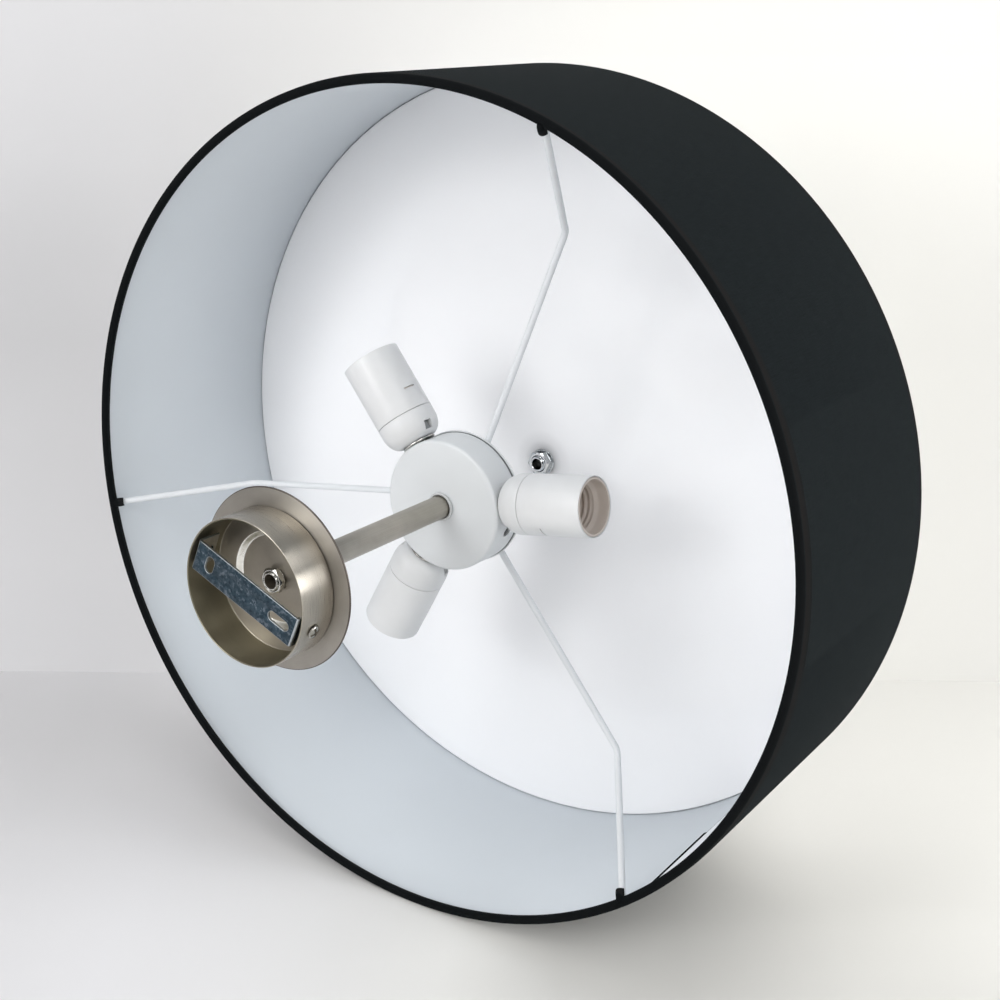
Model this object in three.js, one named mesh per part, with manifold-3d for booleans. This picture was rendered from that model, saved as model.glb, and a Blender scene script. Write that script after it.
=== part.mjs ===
// Ceiling light with a fabric drum shade. A strap on the ceiling carries a canopy, a stem and a hub
// with three lampholders. A three-armed wire spider under the hub carries the drum, and an opal
// disc lies loose on the drum's lower hem. Millimetres, +Z up. The origin is the middle of the
// strap's upper face, in the plane of the ceiling, and +X runs along the strap.

import * as THREE from 'three';
import { mergeVertices } from 'three/addons/utils/BufferGeometryUtils.js';
import Module from 'manifold-3d';

const wasm = await Module();
wasm.setup();

// Driving dimensions
const shadeDiameter = 500;
const shadeHeight = 161;
const shadeDrop = 129;
const stemLength = 141;
const canopyDiameter = 80;
const plateDiameter = 100;
const hubDiameter = 80;
const holderDiameter = 36;

// Shared fits: the gap between two pieces that touch, and how far a cutter runs past a face
const clearance = 0.3;
const overrun = 1;

// Roundness of turned pieces, in facets per turn, and of arcs, in steps
const drumFacetCount = 48;
const sheetFacetCount = 32;
const holderFacetCount = 16;
const smallFacetCount = 12;
const wireFacetCount = 8;
const slotSteps = 3;
const bendSteps = 2;
const domeSteps = 5;
const nutSideCount = 6;

// Hollow threaded rod and what is screwed to it
const nippleDiameter = 10;
const nippleBore = 7;
const nippleProud = 1.8;
const nippleGrip = 20;
const nutAcross = 14;
const nutHeight = 5;
const nutCorner = nutAcross / Math.sqrt(3);
const washerDiameter = 17;
const washerSheet = 1;
const nippleRadius = nippleDiameter / 2;
const nippleHole = nippleRadius + clearance;

// Canopy cup and the plate under it, both stamped with the same step
const canopyDepth = 24;
const canopySheet = 1;
const canopyCorner = 1.5;
const stepDiameter = 54;
const stepDepth = 2.4;
const plateSheet = 1.2;
const canopyRadius = canopyDiameter / 2;

// Ceiling strap and the two screws that hold the canopy to it
const strapLength = 72.5;
const strapWidth = 18;
const strapSheet = 1.5;
const strapBend = 2.5;
const strapLeg = 14;
const slotOffset = 25;
const slotWidth = 5.5;
const crossSlotLength = 9.5;
const longSlotLength = 14;
const screwDiameter = 3.9;
const screwDrop = 10;
const screwReach = 11;
const screwHeadDiameter = 7.5;
const screwHeadHeight = 2.4;

// Stem
const stemDiameter = 14;
const collarWall = 1.3;
const collarHeight = 2;

// Hub: an inverted can and its lid
const hubHeight = 22.4;
const hubSheet = 1.2;
const hubCorner = 2;
const lidOverhang = 1.4;
const lidReveal = 0.6;
const lidSheet = 1.6;
const lidTabWidth = 10;
const lidTabSheet = 1.2;
const lidTabRise = 12;
const lidScrewDiameter = 4;
const lidScrewLength = 7;
const lidScrewDrop = 14.5;
const hubRadius = hubDiameter / 2;

// Terminal block in the hub
const blockLength = 24;
const blockWidth = 8;
const blockHeight = 7;
const blockDistance = 22;
const poleDiameter = 6;
const poleRise = 3;
const poleBore = 3;
const poleCount = 3;

// Lampholders
const holderAzimuths = [-30.5, -149, 83.5];
const holderRolls = [-10, -45, -15];
const holderWasherDiameter = 21;
const domeBaseDiameter = 19.6;
const domeCurveHeight = 11.5;
const domeLength = 16.5;
const domeFloor = 2;
const domeCollarWall = 2.7;
const domeCollarHeight = 8;
const domeWindowWidth = 5.3;
const domeWindowLength = 5;
const domeWindowStart = 2.5;
const spigotLength = 4;
const spigotWall = 1.5;
const shellLength = 41.7;
const shellWall = 1.2;
const shellLip = 0.4;
const latchWidth = 9;
const latchLength = 10;
const latchSlit = 0.7;
const latchSetback = 13;
const skirtDepth = 7;
const skirtWall = 1;
const skirtLip = 0.6;
const socketBore = 26.8;
const socketDepth = 23;
const socketChamfer = 1.8;
const socketFloor = 3;
const terminalDiameter = 24;
const terminalLength = 5;
const holderNutHeight = 4;
const holderNippleInside = 12;
const holderNippleOutside = 9;

// Leaf that meets the lamp cap's centre contact
const leafWidth = 5.5;
const leafSheet = 0.5;
const leafFoot = 4;
const leafRun = 7;
const leafRise = 3.9;
const leafPad = 4;
const leafTip = 2;
const leafTipDrop = 1;
const leafPadOffset = 1.5;

// Spider that carries the shade
const armAzimuths = [-90, 30, 150];
const armWire = 4;
const armRootRadius = 8;
const armBendRadius = 178;
const armBendFillet = 9;
const armBendSteps = 4;
const spiderDiameter = 32;
const spiderSheet = 2;
const tabLength = 6;
const tabArch = 140;
const tabSteps = 4;
const tabPuff = 0.8;

// Drum
const ringWire = 3.5;
const fabricSheet = 0.6;
const liningSheet = 0.8;
const hemWrap = 255;
const hemSteps = 6;
const ringSides = 6;
const seamAzimuth = 153.5;
const seamGap = 0.9;

// Diffuser and what is fixed at its middle
const diffuserSheet = 3;
const diffuserEdgeGap = 0.5;
const diffuserNippleBore = 6.4;
const finialDiameter = 22;
const finialHeight = 10;
const finialRim = 2.5;
const finialWall = 2;

// Heights, from the ceiling down
const canopyFloor = -canopyDepth;
const canopyBoss = canopyFloor - stepDepth;
const bossInside = canopyBoss + canopySheet;
const plateBoss = canopyBoss - clearance - plateSheet;
const stemTop = plateBoss - clearance;
const stemBottom = stemTop - stemLength;
const hubTop = stemBottom - clearance;
const hubCeiling = hubTop - hubSheet;
const hubBottom = hubTop - hubHeight;
const holderLevel = hubTop - hubHeight / 2;
const lidScrewLevel = hubTop - lidScrewDrop;
const lidTop = hubBottom - lidReveal;
const lidBottom = lidTop - lidSheet;
const armLevel = lidBottom - clearance - armWire / 2;
const spiderTop = armLevel - armWire / 2 - clearance;
const spiderBottom = spiderTop - spiderSheet;
const spiderNutTop = spiderBottom - clearance;
const spiderNutBottom = spiderNutTop - nutHeight;

// Drum sizes that follow from its wire rings and sheets
const hemRadius = ringWire / 2 + clearance + fabricSheet;
const ringRadius = shadeDiameter / 2 - hemRadius;
const ringTopLevel = -shadeDrop - hemRadius;
const ringBottomLevel = -shadeDrop - shadeHeight + hemRadius;
const fabricInside = shadeDiameter / 2 - fabricSheet;
const liningOutside = fabricInside - clearance;
const liningInside = liningOutside - liningSheet;
const tabRadius = armWire / 2 + clearance + fabricSheet;
const liningTop = ringTopLevel - hemRadius - clearance;
const liningBottom = ringBottomLevel + hemRadius + clearance;
const diffuserRadius = liningInside - diffuserEdgeGap;
const diffuserBottom = ringBottomLevel + hemRadius + clearance;
const diffuserTop = diffuserBottom + diffuserSheet;

const degrees = Math.PI / 180;

// Finishes
const paint = (color, roughness, metalness) =>
  new THREE.MeshStandardMaterial({ color, roughness, metalness });
const brushedNickel = () => paint(0x9b9389, 0.38, 1);
const zincSteel = () => paint(0x7d8894, 0.42, 1);
const brightSteel = () => paint(0xb9b8b4, 0.25, 1);
const chrome = () => paint(0xc8cacc, 0.12, 1);
const whitePaint = () => paint(0xe6e8ea, 0.45, 0);
const whitePlastic = () => paint(0xeceded, 0.25, 0);
const socketPlastic = () => paint(0xb9b2a8, 0.5, 0);
const springBrass = () => paint(0xb08d4a, 0.35, 1);
const blackOxide = () => paint(0x141414, 0.5, 0.6);
const blackFabric = () => paint(0x23292b, 0.9, 0);
const liningFilm = () => paint(0xd9dee6, 0.6, 0);
const opalAcrylic = () => paint(0xf2f4f6, 0.12, 0);
const ringPaint = () => paint(0x1c1d1e, 0.5, 0.2);

const light = new THREE.Group();

// Adds one named piece to the lamp or to a group that stands in it
function addPiece(name, geometry, material, parent = light) {
  const mesh = new THREE.Mesh(closed(geometry), material);
  mesh.name = name;
  parent.add(mesh);
  return mesh;
}

// Six times the volume inside a list of faces
function facesVolume(position, faces) {
  const corners = [0, 1, 2].map(() => new THREE.Vector3());
  let sum = 0;
  for (let i = 0; i < faces.length; i += 3) {
    corners.forEach((corner, k) => corner.fromBufferAttribute(position, faces[i + k]));
    sum += corners[0].dot(corners[1].cross(corners[2]));
  }
  return sum;
}

// Welds a geometry's shared corners, drops faces without area and turns the others outwards
function closed(geometry) {
  const bare = geometry.clone();
  bare.deleteAttribute('normal');
  bare.deleteAttribute('uv');
  const welded = mergeVertices(bare);
  const index = welded.index.array;
  const faces = [];
  for (let i = 0; i < index.length; i += 3) {
    const face = [index[i], index[i + 1], index[i + 2]];
    if (new Set(face).size === 3) faces.push(...face);
  }
  if (facesVolume(welded.attributes.position, faces) < 0) faces.reverse();
  welded.setIndex(faces);
  return welded;
}

function solidOf(geometry) {
  const shape = closed(geometry);
  const vertProperties = Float32Array.from(shape.attributes.position.array);
  const triVerts = Uint32Array.from(shape.index.array);
  return new wasm.Manifold(new wasm.Mesh({ numProp: 3, vertProperties, triVerts }));
}

function geometryOf(solid) {
  const mesh = solid.getMesh();
  const geometry = new THREE.BufferGeometry();
  geometry.setAttribute('position', new THREE.BufferAttribute(mesh.vertProperties, 3));
  geometry.setIndex(new THREE.BufferAttribute(mesh.triVerts, 1));
  return geometry;
}

const cut = (body, ...tools) =>
  geometryOf(tools.reduce((left, tool) => left.subtract(solidOf(tool)), solidOf(body)));

const join = (body, ...others) =>
  geometryOf(others.reduce((sum, other) => sum.add(solidOf(other)), solidOf(body)));

// Turns a closed outline of [radius, height] points about Z
function turned(outline, facetCount) {
  const points = [...outline, outline[0]].map(([radius, height]) => new THREE.Vector2(radius, height));
  return new THREE.LatheGeometry(points, facetCount).rotateX(Math.PI / 2);
}

const tube = (inner, outer, low, high, facetCount) =>
  turned([[inner, low], [outer, low], [outer, high], [inner, high]], facetCount);

const rod = (radius, low, high, facetCount) => tube(0, radius, low, high, facetCount);

// Points of an elliptical arc about a centre, given as [radius, height] pairs
function arcPoints([centreR, centreZ], [sizeR, sizeZ], from, to, steps) {
  return Array.from({ length: steps + 1 }, (_, i) => {
    const angle = (from + (to - from) * i / steps) * degrees;
    return [centreR + sizeR * Math.cos(angle), centreZ + sizeZ * Math.sin(angle)];
  });
}

const block = (width, depth, height) => new THREE.BoxGeometry(width, depth, height);

// Extrudes a flat outline along Z between two heights
function prism(shape, low, high, curveSegments = smallFacetCount / 2) {
  const depth = high - low;
  return new THREE.ExtrudeGeometry(shape, { depth, bevelEnabled: false, curveSegments }).translate(0, 0, low);
}

// Hexagon nut on the hollow rod
function nutGeometry(low, high) {
  const corners = arcPoints([0, 0], [nutCorner, nutCorner], 0, 360, nutSideCount).slice(1);
  const shape = new THREE.Shape(corners.map(([x, y]) => new THREE.Vector2(x, y)));
  const bore = new THREE.Path();
  bore.absarc(0, 0, nippleHole, 0, 2 * Math.PI, true);
  shape.holes.push(bore);
  return prism(shape, low, high);
}

// Slot with round ends, along X or across it
function slotGeometry(length, width, low, high) {
  const half = (length - width) / 2;
  const shape = new THREE.Shape();
  shape.absarc(half, 0, width / 2, -Math.PI / 2, Math.PI / 2);
  shape.absarc(-half, 0, width / 2, Math.PI / 2, Math.PI * 1.5);
  return prism(shape, low, high, slotSteps);
}

// A path that keeps its points as they are, so that straight runs stay undivided
class CornerPath extends THREE.Curve {
  constructor(points) {
    super();
    this.points = points;
  }

  getPoint(t, target = new THREE.Vector3()) {
    const last = this.points.length - 1;
    const step = Math.min(Math.max(Math.floor(t * last), 0), last - 1);
    return target.lerpVectors(this.points[step], this.points[step + 1], t * last - step);
  }

  getUtoTmapping(u) {
    return u;
  }
}

// Round wire along a path
function wireGeometry(points, diameter) {
  const shape = new THREE.Shape();
  shape.absarc(0, 0, diameter / 2, 0, 2 * Math.PI);
  const extrudePath = new CornerPath(points);
  const steps = points.length - 1;
  return new THREE.ExtrudeGeometry(shape, { steps, extrudePath, curveSegments: wireFacetCount / 2 });
}

// The two corners of the stamped step, for a face that lies some way above the cup's underside
function stampedStep(lift) {
  const slant = lift * Math.tan(Math.PI / 8);
  const radius = stepDiameter / 2 - slant;
  return [[radius - stepDepth, canopyBoss + lift], [radius, canopyFloor + lift]];
}

// Ceiling strap: a flat bar with its ends bent down, one slot across it and one along it
function buildStrap() {
  const half = strapLength / 2;
  const inside = strapBend - strapSheet;
  const shape = new THREE.Shape();
  shape.moveTo(-half, -strapLeg);
  shape.absarc(-half + strapBend, -strapBend, strapBend, Math.PI, Math.PI / 2, true);
  shape.absarc(half - strapBend, -strapBend, strapBend, Math.PI / 2, 0, true);
  shape.lineTo(half, -strapLeg);
  shape.lineTo(half - strapSheet, -strapLeg);
  shape.absarc(half - strapBend, -strapBend, inside, 0, Math.PI / 2);
  shape.absarc(-half + strapBend, -strapBend, inside, Math.PI / 2, Math.PI);
  shape.lineTo(-half + strapSheet, -strapLeg);
  shape.closePath();
  const bar = prism(shape, -strapWidth / 2, strapWidth / 2, bendSteps).rotateX(Math.PI / 2);
  const low = -strapSheet - overrun;
  const cross = slotGeometry(crossSlotLength, slotWidth, low, overrun).rotateZ(Math.PI / 2);
  const long = slotGeometry(longSlotLength, slotWidth, low, overrun);
  const tapped = rod(screwDiameter / 2 + clearance, -half - overrun, half + overrun, smallFacetCount);
  addPiece('ceiling_bracket', cut(
    bar,
    cross.translate(slotOffset, 0, 0),
    long.translate(-slotOffset, 0, 0),
    tapped.rotateY(Math.PI / 2).translate(0, 0, -screwDrop),
  ), zincSteel());
}

// Canopy: a deep cup, the plate nested under its stamped step, and two screws into the strap
function buildCanopy() {
  const inside = canopyRadius - canopySheet;
  const cornerAt = [canopyRadius - canopyCorner, canopyFloor + canopyCorner];
  const innerCorner = canopyCorner - canopySheet;
  const cup = turned([
    [nippleHole, canopyBoss],
    ...stampedStep(0),
    ...arcPoints(cornerAt, [canopyCorner, canopyCorner], -90, 0, 3),
    [canopyRadius, 0],
    [inside, 0],
    ...arcPoints(cornerAt, [innerCorner, innerCorner], 0, -90, 2),
    ...stampedStep(canopySheet).reverse(),
    [nippleHole, bossInside],
  ], sheetFacetCount);
  const across = canopyRadius + overrun;
  const hole = rod(screwDiameter / 2 + clearance, -across, across, smallFacetCount);
  const holes = hole.rotateY(Math.PI / 2).translate(0, 0, -screwDrop);
  addPiece('canopy_cup', cut(cup, holes), brushedNickel());

  const plate = turned([
    [nippleHole, plateBoss],
    ...stampedStep(-clearance - plateSheet),
    [plateDiameter / 2, canopyFloor - clearance - plateSheet],
    [plateDiameter / 2, canopyFloor - clearance],
    ...stampedStep(-clearance).reverse(),
    [nippleHole, canopyBoss - clearance],
  ], sheetFacetCount);
  addPiece('canopy_plate', plate, brushedNickel());

  const headRadius = screwHeadDiameter / 2;
  const seat = canopyRadius + clearance;
  [180, 0].forEach((azimuth, i) => {
    const screw = turned([
      [0, seat - screwReach],
      [screwDiameter / 2, seat - screwReach],
      [screwDiameter / 2, seat],
      ...arcPoints([0, seat], [headRadius, screwHeadHeight], 0, 90, 3),
    ], smallFacetCount);
    screw.rotateY(Math.PI / 2).rotateZ(azimuth * degrees).translate(0, 0, -screwDrop);
    addPiece(`bracket_screw_${i + 1}`, screw, brightSteel());
  });
}

// Stem with its hollow rods, nuts, washer and the collar at its foot
function buildStem() {
  const stemRadius = stemDiameter / 2;
  const washerLow = bossInside + clearance;
  const nutLow = washerLow + washerSheet + clearance;
  const nippleTop = nutLow + nutHeight + nippleProud;
  const bore = nippleBore / 2;
  addPiece('stem_washer_top', tube(
    nippleHole, washerDiameter / 2, washerLow, washerLow + washerSheet, holderFacetCount,
  ), brightSteel());
  addPiece('stem_nut_top', nutGeometry(nutLow, nutLow + nutHeight), brightSteel());
  addPiece('stem_nipple_top',
    tube(bore, nippleRadius, stemTop - nippleGrip, nippleTop, smallFacetCount), brightSteel());
  addPiece('stem_tube', tube(nippleHole, stemRadius, stemBottom, stemTop, holderFacetCount), brushedNickel());

  const collarInside = stemRadius + clearance;
  const collarLow = hubTop + clearance;
  addPiece('stem_collar', tube(
    collarInside, collarInside + collarWall, collarLow, collarLow + collarHeight, holderFacetCount,
  ), whitePlastic());

  addPiece('stem_nipple_bottom',
    tube(bore, nippleRadius, spiderNutBottom - nippleProud, stemBottom + nippleGrip, smallFacetCount),
    brightSteel());
  const nutHigh = hubCeiling - clearance;
  addPiece('stem_nut_bottom', nutGeometry(nutHigh - nutHeight, nutHigh), brightSteel());
}

// Places a geometry that was built upright along Z so that it points outwards at an azimuth and level
const radial = (geometry, azimuth, level) =>
  geometry.rotateY(Math.PI / 2).rotateZ(azimuth * degrees).translate(0, 0, level);

// Hub: the can with its holes, the lid with two upstanding tabs, and the lid's screws
function buildHub() {
  const inside = hubRadius - hubSheet;
  const cornerAt = [hubRadius - hubCorner, hubTop - hubCorner];
  const innerCorner = hubCorner - hubSheet;
  const can = turned([
    [nippleHole, hubCeiling],
    ...arcPoints(cornerAt, [innerCorner, innerCorner], 90, 0, 2),
    [inside, hubBottom],
    [hubRadius, hubBottom],
    ...arcPoints(cornerAt, [hubCorner, hubCorner], 0, 90, 3),
    [nippleHole, hubTop],
  ], sheetFacetCount);
  const through = hubRadius + overrun;
  const nippleCutters = holderAzimuths.map((azimuth) =>
    radial(rod(nippleHole, inside / 2, through, smallFacetCount), azimuth, holderLevel));
  const screwHole = lidScrewDiameter / 2 + clearance;
  const screwCutter = radial(rod(screwHole, -through, through, smallFacetCount), 0, lidScrewLevel);
  addPiece('hub_can', cut(can, ...nippleCutters, screwCutter), whitePaint());

  const lid = tube(nippleHole, hubRadius + lidOverhang, lidBottom, lidTop, sheetFacetCount);
  const tabOutside = Math.sqrt(inside ** 2 - (lidTabWidth / 2) ** 2) - clearance;
  const tabHeight = lidSheet / 2 + lidTabRise;
  const tabs = [-1, 1].map((side) => block(lidTabSheet, lidTabWidth, tabHeight).translate(
    side * (tabOutside - lidTabSheet / 2), 0, lidTop + lidTabRise - tabHeight / 2,
  ));
  const tabCutter = radial(rod(screwHole, -through, through, smallFacetCount), 0, lidScrewLevel);
  addPiece('hub_lid', cut(join(lid, ...tabs), tabCutter), whitePaint());

  const screwOutside = hubRadius - clearance;
  [180, 0].forEach((azimuth, i) => {
    const screw = rod(lidScrewDiameter / 2, screwOutside - lidScrewLength, screwOutside, smallFacetCount);
    addPiece(`lid_screw_${i + 1}`, radial(screw, azimuth, lidScrewLevel), blackOxide());
  });
}

// Three-pole terminal block that stands on the lid, opposite one lampholder
function buildTerminalBlock() {
  const low = lidTop + clearance;
  const high = low + blockHeight;
  const pitch = blockLength / poleCount;
  const places = Array.from({ length: poleCount }, (_, i) => (i - (poleCount - 1) / 2) * pitch);
  const body = block(blockLength, blockWidth, blockHeight).translate(0, 0, low + blockHeight / 2);
  const poles = places.map((x) =>
    rod(poleDiameter / 2, high - blockHeight / 2, high + poleRise, wireFacetCount).translate(x, 0, 0));
  const bores = places.map((x) =>
    rod(poleBore / 2, high, high + poleRise + overrun, wireFacetCount).translate(x, 0, 0));
  const geometry = cut(join(body, ...poles), ...bores);
  addPiece('terminal_block', geometry.translate(0, -blockDistance, 0), whitePlastic());
}

// Base of a lampholder: a domed cap with a thread collar, two windows and a spigot for the shell
function domeGeometry() {
  const outside = holderDiameter / 2;
  const base = domeBaseDiameter / 2;
  const spigot = outside - shellWall - clearance;
  const inside = spigot - spigotWall;
  const collar = nippleHole + domeCollarWall;
  const curve = [outside - base, domeCurveHeight];
  const hollow = [inside - collar, domeCurveHeight - domeFloor];
  const dome = turned([
    [nippleHole, 0],
    ...arcPoints([base, domeCurveHeight], curve, -90, 0, domeSteps),
    [outside, domeLength],
    [spigot, domeLength],
    [spigot, domeLength + spigotLength],
    [inside, domeLength + spigotLength],
    ...arcPoints([collar, domeCurveHeight], hollow, 0, -90, domeSteps - 1),
    [collar, domeCollarHeight],
    [nippleHole, domeCollarHeight],
  ], holderFacetCount);
  const reach = outside - collar;
  const windows = [-1, 1].map((side) => block(domeWindowWidth, reach, domeWindowLength).translate(
    0, side * (collar + clearance + reach / 2), domeWindowStart + domeWindowLength / 2,
  ));
  return cut(dome, ...windows);
}

// Outer shell of a lampholder, with the three-sided slit that frees its latch tongue
function shellGeometry(low) {
  const high = low + shellLength;
  const outside = holderDiameter / 2;
  const inside = outside - shellWall;
  const shell = turned([
    [inside, low],
    [outside, low],
    [outside, high - shellLip],
    [outside - shellLip, high],
    [inside, high],
  ], holderFacetCount);
  const radius = outside - shellWall / 2;
  const depth = shellWall + overrun * 2;
  const top = low + latchSetback;
  const across = block(latchWidth, depth, latchSlit).translate(0, radius, top);
  const sides = [-1, 1].map((side) => block(latchSlit, depth, latchLength).translate(
    side * (latchWidth - latchSlit) / 2, radius, top + latchSlit / 2 - latchLength / 2,
  ));
  return cut(shell, across, ...sides);
}

// Liner of a lampholder: skirt, threaded bore, socket floor and the terminal body behind it
function insertGeometry(shellTop) {
  const outside = holderDiameter / 2 - shellWall - clearance;
  const bore = socketBore / 2;
  const high = shellTop - skirtDepth;
  const floor = high - socketDepth;
  const low = floor - socketFloor;
  return turned([
    [0, low - terminalLength],
    [terminalDiameter / 2, low - terminalLength],
    [terminalDiameter / 2, low],
    [outside, low],
    [outside, shellTop - skirtLip],
    [outside - skirtWall, shellTop - skirtLip],
    [outside - skirtWall, high],
    [bore, high - socketChamfer],
    [bore, floor],
    [0, floor],
  ], holderFacetCount);
}

// Bent leaf: a foot on the socket floor, a ramp and a pad under the cap's centre contact
function leafGeometry(floor) {
  const low = floor + clearance;
  const start = -leafPadOffset - leafRun - leafFoot;
  const runs = [leafFoot, leafRun, leafPad, leafTip];
  const rises = [0, leafRise, 0, -leafTipDrop];
  const underside = [new THREE.Vector2(start, low)];
  runs.forEach((run, i) => {
    const last = underside[i];
    underside.push(new THREE.Vector2(last.x + run, last.y + rises[i]));
  });
  const upperside = underside.map((point) => new THREE.Vector2(point.x, point.y + leafSheet)).reverse();
  const strip = prism(new THREE.Shape([...underside, ...upperside]), -leafWidth / 2, leafWidth / 2);
  return strip.rotateX(Math.PI / 2);
}

// One lampholder, from the nut inside the hub to the mouth
function buildLampholder(number, azimuth, roll) {
  const base = hubRadius + clearance + washerSheet + clearance;
  const holder = new THREE.Group();
  holder.position.set(base * Math.cos(azimuth * degrees), base * Math.sin(azimuth * degrees), holderLevel);
  holder.rotateZ(azimuth * degrees);
  holder.rotateY(Math.PI / 2);
  holder.rotateZ(Math.PI + roll * degrees);
  light.add(holder);

  const shellLow = domeLength + clearance;
  const shellTop = shellLow + shellLength;
  const floor = shellTop - skirtDepth - socketDepth;
  addPiece(`lampholder_dome_${number}`, domeGeometry(), whitePlastic(), holder);
  addPiece(`lampholder_shell_${number}`, shellGeometry(shellLow), whitePlastic(), holder);
  addPiece(`lampholder_insert_${number}`, insertGeometry(shellTop), socketPlastic(), holder);
  addPiece(`centre_contact_${number}`, leafGeometry(floor), springBrass(), holder);

  const inside = hubRadius - hubSheet;
  const nutHigh = Math.sqrt(inside ** 2 - nutCorner ** 2) - clearance - base;
  addPiece(`holder_washer_${number}`, tube(
    nippleHole, holderWasherDiameter / 2, -clearance - washerSheet, -clearance, holderFacetCount,
  ), brightSteel(), holder);
  addPiece(`holder_nipple_${number}`, tube(
    nippleBore / 2, nippleRadius, -holderNippleInside, holderNippleOutside, smallFacetCount,
  ), brightSteel(), holder);
  addPiece(`holder_nut_${number}`, nutGeometry(nutHigh - holderNutHeight, nutHigh), brightSteel(), holder);
}

// Tab of the hem's cloth: an arch over the arm's end, along Z and open towards +X
function tabGeometry(low, high) {
  const half = tabArch / 2;
  const arch = (radius, from, to) =>
    arcPoints([0, 0], [radius + tabPuff, radius], 180 + from, 180 + to, tabSteps);
  const outline = [...arch(tabRadius, -half, half), ...arch(tabRadius - fabricSheet, half, -half)];
  return prism(new THREE.Shape(outline.map(([x, y]) => new THREE.Vector2(x, y))), low, high);
}

// Spider: three bent wires between the hub's lid and a ring washer, held by a nut
function buildSpider() {
  addPiece('spider_ring',
    tube(nippleHole, spiderDiameter / 2, spiderBottom, spiderTop, holderFacetCount), whitePaint());
  addPiece('spider_nut', nutGeometry(spiderNutBottom, spiderNutTop), brightSteel());

  const root = new THREE.Vector2(armRootRadius, armLevel);
  const bend = new THREE.Vector2(armBendRadius, armLevel);
  const ring = new THREE.Vector2(ringRadius, ringTopLevel);
  const slope = ring.clone().sub(bend).normalize();
  const rise = slope.angle();
  const end = ring.clone().addScaledVector(slope, -ringWire / 2 - clearance);
  const setback = armBendFillet * Math.tan(rise / 2);
  const centre = [bend.x - setback, armLevel + armBendFillet];
  const size = [armBendFillet, armBendFillet];
  const fillet = arcPoints(centre, size, -90, rise / degrees - 90, armBendSteps);
  const path = [root.toArray(), ...fillet, end.toArray()];
  const points = path.map(([radius, height]) => new THREE.Vector3(radius, 0, height));

  const tabStart = hemRadius + clearance;
  armAzimuths.forEach((azimuth, i) => {
    const arm = wireGeometry(points, armWire).rotateZ(azimuth * degrees);
    addPiece(`spider_arm_${i + 1}`, arm, whitePaint());

    const tab = tabGeometry(-tabStart - tabLength, -tabStart).rotateY(Math.PI / 2 - rise);
    tab.translate(ringRadius, 0, ringTopLevel).rotateZ(azimuth * degrees);
    addPiece(`hem_tab_${i + 1}`, tab, blackFabric());
  });
}

// Wire ring of the drum
function ringGeometry(level) {
  const section = arcPoints([ringRadius, level], [ringWire / 2, ringWire / 2], 0, 360, ringSides);
  return turned(section.slice(0, -1), drumFacetCount);
}

// Fabric drum: one wall whose two hems roll round the wire rings, notched where the arms come in
function fabricGeometry() {
  const hem = (level, radius, from, to) =>
    arcPoints([ringRadius, level], [radius, radius], from, to, hemSteps);
  const inner = hemRadius - fabricSheet;
  const drum = turned([
    ...hem(ringBottomLevel, hemRadius, -hemWrap, 0),
    ...hem(ringTopLevel, hemRadius, 0, hemWrap),
    ...hem(ringTopLevel, inner, hemWrap, 0),
    ...hem(ringBottomLevel, inner, 0, -hemWrap),
  ], drumFacetCount);
  const depth = hemRadius + overrun;
  const height = hemRadius + overrun + ringWire / 2;
  const width = armWire + 2 * clearance;
  const notches = armAzimuths.map((azimuth) => block(depth, width, height)
    .translate(ringRadius - depth / 2, 0, ringTopLevel + ringWire / 2 - height / 2)
    .rotateZ(azimuth * degrees));
  return cut(drum, ...notches);
}

// Lining: a stiff sheet bent into a cylinder, with its butt seam
function liningGeometry() {
  const sheet = tube(liningInside, liningOutside, liningBottom, liningTop, drumFacetCount);
  const height = liningTop - liningBottom + 2 * overrun;
  const depth = 2 * (liningSheet + overrun);
  const seam = block(depth, seamGap, height)
    .translate(liningInside, 0, (liningTop + liningBottom) / 2)
    .rotateZ(seamAzimuth * degrees);
  return cut(sheet, seam);
}

function buildShade() {
  addPiece('ring_top', ringGeometry(ringTopLevel), ringPaint());
  addPiece('ring_bottom', ringGeometry(ringBottomLevel), ringPaint());
  addPiece('shade_fabric', fabricGeometry(), blackFabric());
  addPiece('shade_lining', liningGeometry(), liningFilm());
}

// Diffuser: the opal disc, and the hollow rod, washer, nut and finial at its middle
function buildDiffuser() {
  const washerLow = diffuserTop + clearance;
  const nutLow = washerLow + washerSheet + clearance;
  const nippleTop = nutLow + nutHeight + nippleProud;
  const finialTop = diffuserBottom - clearance;
  const boreFloor = finialTop - finialHeight + finialWall;
  const finialRadius = finialDiameter / 2;
  addPiece('diffuser_disc',
    tube(nippleHole, diffuserRadius, diffuserBottom, diffuserTop, drumFacetCount), opalAcrylic());
  addPiece('diffuser_washer', tube(
    nippleHole, washerDiameter / 2, washerLow, washerLow + washerSheet, holderFacetCount,
  ), chrome());
  addPiece('diffuser_nut', nutGeometry(nutLow, nutLow + nutHeight), chrome());
  addPiece('diffuser_nipple',
    tube(diffuserNippleBore / 2, nippleRadius, boreFloor + clearance, nippleTop, smallFacetCount), chrome());

  const domeHeight = finialHeight - finialRim;
  const finial = turned([
    [0, boreFloor],
    ...arcPoints([0, finialTop - finialRim], [finialRadius, domeHeight], -90, 0, 5),
    [finialRadius, finialTop],
    [nippleHole, finialTop],
    [nippleHole, boreFloor],
  ], holderFacetCount);
  addPiece('finial', finial, brushedNickel());
}

buildStrap();
buildCanopy();
buildStem();
buildHub();
buildTerminalBlock();
holderAzimuths.forEach((azimuth, i) => buildLampholder(i + 1, azimuth, holderRolls[i]));
buildSpider();
buildShade();
buildDiffuser();

export default light;
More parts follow.
